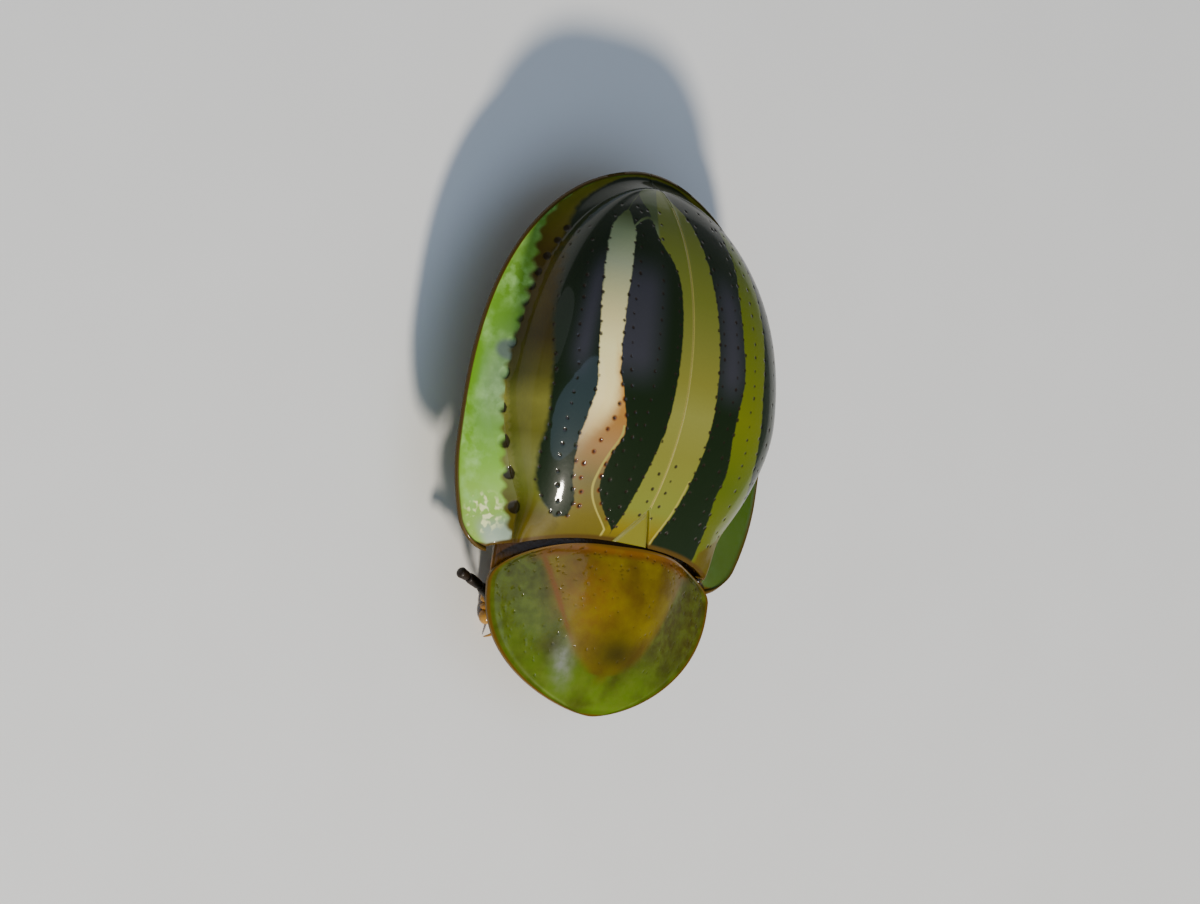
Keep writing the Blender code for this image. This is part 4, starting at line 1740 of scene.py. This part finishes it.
@dataclass
class Head:
    """The head under the shield: face, eyes, lip, jaws, palps and feeler sockets.

    The lines of the jaws and the palps start from the foot of the face.
    """

    neck: Neck
    finish: bpy.types.Material
    mouth_finish: bpy.types.Material
    eye_finish: bpy.types.Material
    centre: Vector = Vector((0, -2.5, 0.7))
    half: Vector = Vector((0.58, 0.36, 0.37))
    eye_centre: Vector = Vector((0.5, -2.55, 0.76))
    eye_half: Vector = Vector((0.16, 0.19, 0.25))
    socket_half: Vector = Vector((0.1, 0.06, 0.1))
    jaw: Line = ((0.2, 0.17, 0.1), (0.17, 0.1, 0.0), (0.04, 0.08, -0.05))
    jaw_radii: Curve = ((0, 0.08), (0.5, 0.065), (1, 0.02))
    palp: Line = ((0.25, 0.24, 0.07), (0.32, 0.14, 0.02), (0.36, 0.04, -0.03))
    palp_radii: Curve = ((0, 0.03), (0.6, 0.04), (1, 0.028))
    palp_joints: int = 3
    lower: Line = ((0.09, 0.22, 0.03), (0.12, 0.14, -0.03), (0.13, 0.08, -0.06))
    lower_radii: Curve = ((0, 0.025), (0.5, 0.032), (1, 0.018))

    def capsule(self) -> bmesh.types.BMesh:
        """The head's capsule, with its brow, its face plate and a groove down its crown.

        Returns:
            The shape.
        """

        def place(share: float, angle: float) -> Vector:
            """The capsule's skin, with its poles at the top and the bottom.

            Args:
                share: the share of its height, from 0 to 1.
                angle: the angle round it.

            Returns:
                The point.
            """
            level = math.pi * (share - 0.5)
            flat = math.cos(level)
            way = Vector((flat * math.cos(angle), flat * math.sin(angle), math.sin(level)))
            point = Vector((way.x * self.half.x, way.y * self.half.y, way.z * self.half.z))
            facing = max(-way.y, 0)
            crown = hump(way.x, 0.05) * smooth_step(0.1, 0.6, way.z)
            brow = hump(abs(way.x) - 0.32, 0.14) * hump(way.z - 0.3, 0.2)
            face = hump(way.x, 0.34) * hump(way.z + 0.3, 0.34)
            cleft = hump(abs(way.x) - (0.16 + 0.35 * (0.25 - way.z)), 0.035) * hump(way.z, 0.3)
            push = facing * (0.05 * brow + 0.05 * face - 0.02 * cleft) - 0.02 * crown
            return self.centre + point + way * push

        shape = wrapped(96, 64, place)
        marked(shape, "joint", lambda co: 0.5 * hump(abs(co.x) - 0.12, 0.03) * hump(co.z - 0.6, 0.2))
        return shape

    def socket(self, side: Side) -> bmesh.types.BMesh:
        """The ring that a feeler sits in."""
        centre = self.centre + Vector((side.value * 0.2, -self.half.y * 0.95, 0.1))
        return ball(centre, self.socket_half, 24, 12)

    def mouth(self) -> list[bmesh.types.BMesh]:
        """The lip, jaws and palps.

        Returns:
            Their shapes.
        """
        foot = Vector((0, self.centre.y - self.half.y, self.centre.z - self.half.z))
        shapes = [
            ball(foot + Vector((0, 0.08, 0.16)), Vector((0.2, 0.08, 0.08)), 32, 16),
            ball(foot + Vector((0, 0.09, 0.05)), Vector((0.14, 0.07, 0.06)), 32, 16),
        ]
        for flip in (-1, 1):
            jaw, palp, lower = (
                [foot + Vector((flip * x, y, z)) for x, y, z in line]
                for line in (self.jaw, self.palp, self.lower)
            )
            shapes.append(limb(jaw, self.jaw_radii, 16, 16))
            for k in range(self.palp_joints):
                joint = smooth_path(palp, self.palp_joints)[k : k + 2]
                shapes.append(limb(joint, self.palp_radii, 12, 8))
            shapes.append(limb(lower, self.lower_radii, 12, 10))
        return shapes

    def build(self) -> list[bpy.types.Object]:
        """Builds the head.

        Returns:
            The pieces.
        """
        shape = together([self.capsule(), self.socket(Side.LEFT), self.socket(Side.RIGHT)])
        made = [piece("head_capsule", self.neck.turned(shape), self.finish, ("head",))]
        mouth = together(self.mouth())
        marked(mouth, "joint", lambda co: 0.7 * smooth_step(0.36, 0.28, co.z))
        made.append(piece("mouthparts", self.neck.turned(mouth), self.mouth_finish))
        for side in Side:
            centre = self.eye_centre.copy()
            centre.x *= side.value
            eye = self.neck.turned(ball(centre, self.eye_half, 48, 32))
            node = f"eye_{side.word}"
            made.append(piece(node + "_lenses", eye, self.eye_finish, (node,)))
        return made


@dataclass
class Antenna:
    """A feeler of eleven segments: six slim yellow ones and a black, downy club of five."""

    side: Side
    neck: Neck
    finish: bpy.types.Material
    route: Line = (
        (0.28, -2.95, 0.74),
        (0.83, -2.84, 0.74),
        (1.14, -2.46, 0.76),
        (1.34, -2.05, 0.78),
        (1.85, -1.8, 0.8),
    )
    segments: int = 11
    steps: int = 6
    club_from: int = 6
    slim: float = 0.05
    club: float = 0.07
    club_dark: float = 0.97

    def build(self) -> bpy.types.Object:
        """Builds the feeler.

        Returns:
            The piece.
        """
        points = [Vector((self.side.value * x, y, z)) for x, y, z in self.route]
        line = smooth_path(points, self.segments * self.steps)
        shapes = []
        for k in range(self.segments):
            part = line[self.steps * k : self.steps * (k + 1) + 1 : 2]
            club = k >= self.club_from
            wide = (self.club if club else self.slim) * {0: 1.5, self.club_from: 0.85}.get(k, 1.0)
            tip = 0.4 if k == self.segments - 1 else 0.9
            root = 0.85 if club else 0.6
            radii = ((0, wide * root), (0.25, wide * 0.93), (0.7, wide), (1, wide * tip))
            shape = limb(part, radii, 20, 16)
            marked(shape, "joint", lambda _, dark=club * self.club_dark: dark)
            shapes.append(shape)
        node = f"antenna_{self.side.word}"
        shape = self.neck.turned(together(shapes))
        return piece(node + "_segments", shape, self.finish, (node,))


@dataclass
class Leg:
    """A leg: hip, thigh, shin and a padded foot with two claws."""

    pair: Pair
    side: Side
    finish: bpy.types.Material
    hip_z: float = 0.7
    knee_z: float = 0.42
    ankle_z: float = 0.2
    sole: float = 0.09
    coxa_half: Vector = Vector((0.26, 0.22, 0.24))
    hip_radius: float = 0.13
    hip_reach: float = 0.16
    knee_radius: float = 0.1
    thigh: Curve = ((0, 0.1), (0.15, 0.15), (0.5, 0.2), (0.8, 0.16), (1, 0.1))
    shin: Curve = ((0, 0.08), (0.2, 0.085), (0.7, 0.11), (0.92, 0.14), (1, 0.1))
    foot_joints: Line = ((0.05, 0.2, 0.11), (0.32, 0.17, 0.13))
    lobe_place: float = 0.68
    lobe_reach: float = 0.26
    lobe_width: float = 0.085
    lobe_spread: float = 0.08
    wrist: Curve = ((0, 0.03), (0.6, 0.045), (1, 0.05))
    claw: Curve = ((0, 0.03), (0.5, 0.024), (1, 0.005))

    def build(self) -> bpy.types.Object:
        """Builds the leg.

        Returns:
            The piece.
        """
        flip = self.side.value
        hip, knee, heel, toe = (
            Vector((flip * x, y, z))
            for (x, y), z in zip(self.pair.value, (self.hip_z, self.knee_z, self.ankle_z, self.sole))
        )
        down = (knee - hip).normalized()
        joint = hip + down * self.hip_reach
        thigh = [hip + down * 0.15, hip.lerp(knee, 0.5) + Vector((0, 0, 0.03)), knee]
        shin = [knee, knee.lerp(heel, 0.5) + Vector((flip * 0.02, 0, 0)), heel]
        shapes = [
            ball(hip + Vector((0, 0, 0.12)), self.coxa_half, 28, 18),
            ball(joint, Vector((self.hip_radius,) * 3), 20, 14),
            limb(thigh, self.thigh, 24, 28),
            ball(knee, Vector((self.knee_radius,) * 3), 20, 14),
            limb(shin, self.shin, 22, 26),
            *self.foot(heel, toe),
        ]
        shape = together(shapes)
        joints = (joint, knee, heel)
        marked(shape, "joint", lambda co: 0.75 * max(hump((co - j).length, 0.12) for j in joints))
        lowest = min(vert.co.z for vert in shape.verts)
        bmesh.ops.translate(shape, vec=(0, 0, -lowest), verts=shape.verts[:])
        node = f"leg_{self.pair.name.lower()}_{self.side.word}"
        return piece(node + "_parts", shape, self.finish, (node,))

    def foot(self, heel: Vector, toe: Vector) -> list[bmesh.types.BMesh]:
        """The foot: two short joints, two padded lobes and the claws.

        Args:
            heel: where the shin ends.
            toe: where the lobes end.

        Returns:
            The shapes.
        """
        along = Vector((toe.x - heel.x, toe.y - heel.y, 0))
        length = along.length
        along.normalize()
        across = Vector((along.y, -along.x, 0))
        turn = along.to_track_quat("Y", "Z").to_matrix()
        start = Vector((heel.x, heel.y, self.sole))
        shapes = []
        for place, reach, width in self.foot_joints:
            half = Vector((width, length * reach, self.sole))
            shapes.append(ball(start + along * length * place, half, 24, 14, turn))
        for lobe in (-1, 1):
            centre = start + along * length * self.lobe_place + across * lobe * self.lobe_spread
            half = Vector((self.lobe_width, length * self.lobe_reach, self.sole))
            shapes.append(ball(centre, half, 24, 16, turn))
        wrist = start + along * length * 0.55 + Vector((0, 0, 0.05))
        knuckle = start + along * length * 1.0 + Vector((0, 0, 0.05))
        middle = wrist.lerp(knuckle, 0.5) + Vector((0, 0, 0.03))
        shapes.append(limb([wrist, middle, knuckle], self.wrist, 16, 14))
        for claw in (-1, 1):
            tip = knuckle + along * 0.14 + across * claw * 0.1
            tip.z = 0.02
            bow = knuckle + along * 0.1 + across * claw * 0.045 + Vector((0, 0, 0.015))
            shapes.append(limb([knuckle, bow, tip], self.claw, 12, 14))
        return shapes


# The studio


@dataclass(frozen=True)
class Softbox:
    """A softbox: the way to it from the beetle, its distance and sides in millimetres, its watts."""

    name: str
    way: Vector
    distance: float
    width: float
    length: float
    power: float
    colour: str


@dataclass
class Studio:
    """The pale floor, the soft lights and the camera at the photograph's angle."""

    floor_size: float = 600.0
    room_light: float = 0.22
    boxes: tuple[Softbox, ...] = (
        Softbox("key", Vector((-0.03, -0.78, 0.62)), 110, 12, 12, 0.17, "FFF6E8"),
        Softbox("overhead", Vector((-0.26, -0.26, 0.93)), 150, 120, 190, 0.11, "B0CCF4"),
        Softbox("fill", Vector((-1.0, 0.5, 0.35)), 180, 120, 120, 0.02, "EAF0F4"),
    )
    right: Vector = Vector((0.75142132, 0.14110393, 0.64455851))
    up: Vector = Vector((-0.15736548, 0.98700172, -0.03261463))
    back: Vector = Vector((-0.64078241, -0.07692393, 0.76385902))
    middle: Vector = Vector((0, 0, 1.5))
    shift_right: float = 0.2909
    shift_up: float = 0.0846
    distance: float = 120.0
    frame_width: float = 15.377
    sensor: float = 36.0
    clip_from: float = 0.001
    clip_to: float = 5.0
    room_colour: str = "DDE3EA"

    def floor(self) -> bpy.types.Object:
        """Lays the floor.

        Returns:
            The floor.
        """
        shape = bmesh.new()
        bmesh.ops.create_grid(shape, x_segments=1, y_segments=1, size=self.floor_size / 2 * MM)
        mesh = bpy.data.meshes.new("floor")
        shape.to_mesh(mesh)
        shape.free()
        mesh.materials.append(PaperFinish().make())
        made = bpy.data.objects.new("floor", mesh)
        bpy.context.scene.collection.objects.link(made)
        return made

    def lamp(self, box: Softbox) -> bpy.types.Object:
        """Hangs a softbox that faces the beetle.

        Args:
            box: the softbox.

        Returns:
            The light.
        """
        light = bpy.data.lights.new(box.name, "AREA")
        light.shape = "ELLIPSE"
        light.size = box.width * MM
        light.size_y = box.length * MM
        light.energy = box.power
        light.color = linear(box.colour)[:3]
        made = bpy.data.objects.new(box.name, light)
        made.location = (self.middle + box.way.normalized() * box.distance) * MM
        made.rotation_euler = box.way.to_track_quat("Z", "Y").to_euler()
        bpy.context.scene.collection.objects.link(made)
        return made

    def camera(self) -> bpy.types.Object:
        """Places the camera.

        Returns:
            The camera.
        """
        lens = bpy.data.cameras.new("camera")
        lens.sensor_width = self.sensor
        lens.lens = self.sensor * self.distance / self.frame_width
        lens.clip_start, lens.clip_end = self.clip_from, self.clip_to
        made = bpy.data.objects.new("camera", lens)
        aim = self.middle - self.right * self.shift_right - self.up * self.shift_up
        turn = Matrix((self.right, self.up, self.back)).transposed().to_4x4()
        made.matrix_world = Matrix.Translation((aim + self.back * self.distance) * MM) @ turn
        bpy.context.scene.collection.objects.link(made)
        bpy.context.scene.camera = made
        return made

    def world(self) -> None:
        """Fills the room with soft, even light."""
        world = bpy.data.worlds.new("room")
        world.use_nodes = True
        back = world.node_tree.nodes["Background"]
        back.inputs["Color"].default_value = linear(self.room_colour)
        back.inputs["Strength"].default_value = self.room_light
        bpy.context.scene.world = world

    def build(self) -> None:
        """Builds the studio."""
        self.floor()
        self.camera()
        self.world()
        for box in self.boxes:
            self.lamp(box)


def main() -> None:
    """Builds the beetle and its studio."""
    logging.basicConfig(level=logging.INFO, format="%(message)s")
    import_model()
    outline = Outline()
    elytra = ElytraFinish("beetle_horn_moulded_striped").make()
    for side in Side:
        WingCase(side, outline, elytra).build()
    Scutellum(outline, elytra).build()
    neck = Neck()
    shield = Pronotum(outline, neck, PronotumFinish("beetle_horn_moulded_amber").make())
    shield.build()
    body = PlainCuticle("beetle_horn_moulded_brown", main="3A220C", deep="1A0F06").make()
    mouth = PlainCuticle("beetle_horn_moulded_chestnut", main="6B3F16", deep="4A2A0E").make()
    legs = PlainCuticle(
        "beetle_horn_moulded_honey",
        main="A67A2E",
        deep="8A5E1E",
        joint="4A2C0C",
        grain_strength=0.25,
    ).make()
    feelers = PlainCuticle(
        "beetle_horn_downy", main="A87A30", deep="90621F", joint="0C0A09", roughness=0.5, coat=0.1
    ).make()
    Trunk(outline, shield, body).build()
    skin = PlainCuticle(
        "beetle_skin_leathery", main="8A5408", deep="684806", joint="402806", coat=0.0
    ).make()
    NeckSkin(outline, shield, skin).build()
    Head(neck, body, mouth, EyeFinish("eye_lens_polished").make()).build()
    for side in Side:
        Antenna(side, neck, feelers).build()
        for pair in Pair:
            Leg(pair, side, legs).build()
    Studio().build()
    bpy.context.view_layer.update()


if __name__ == "__main__":
    main()
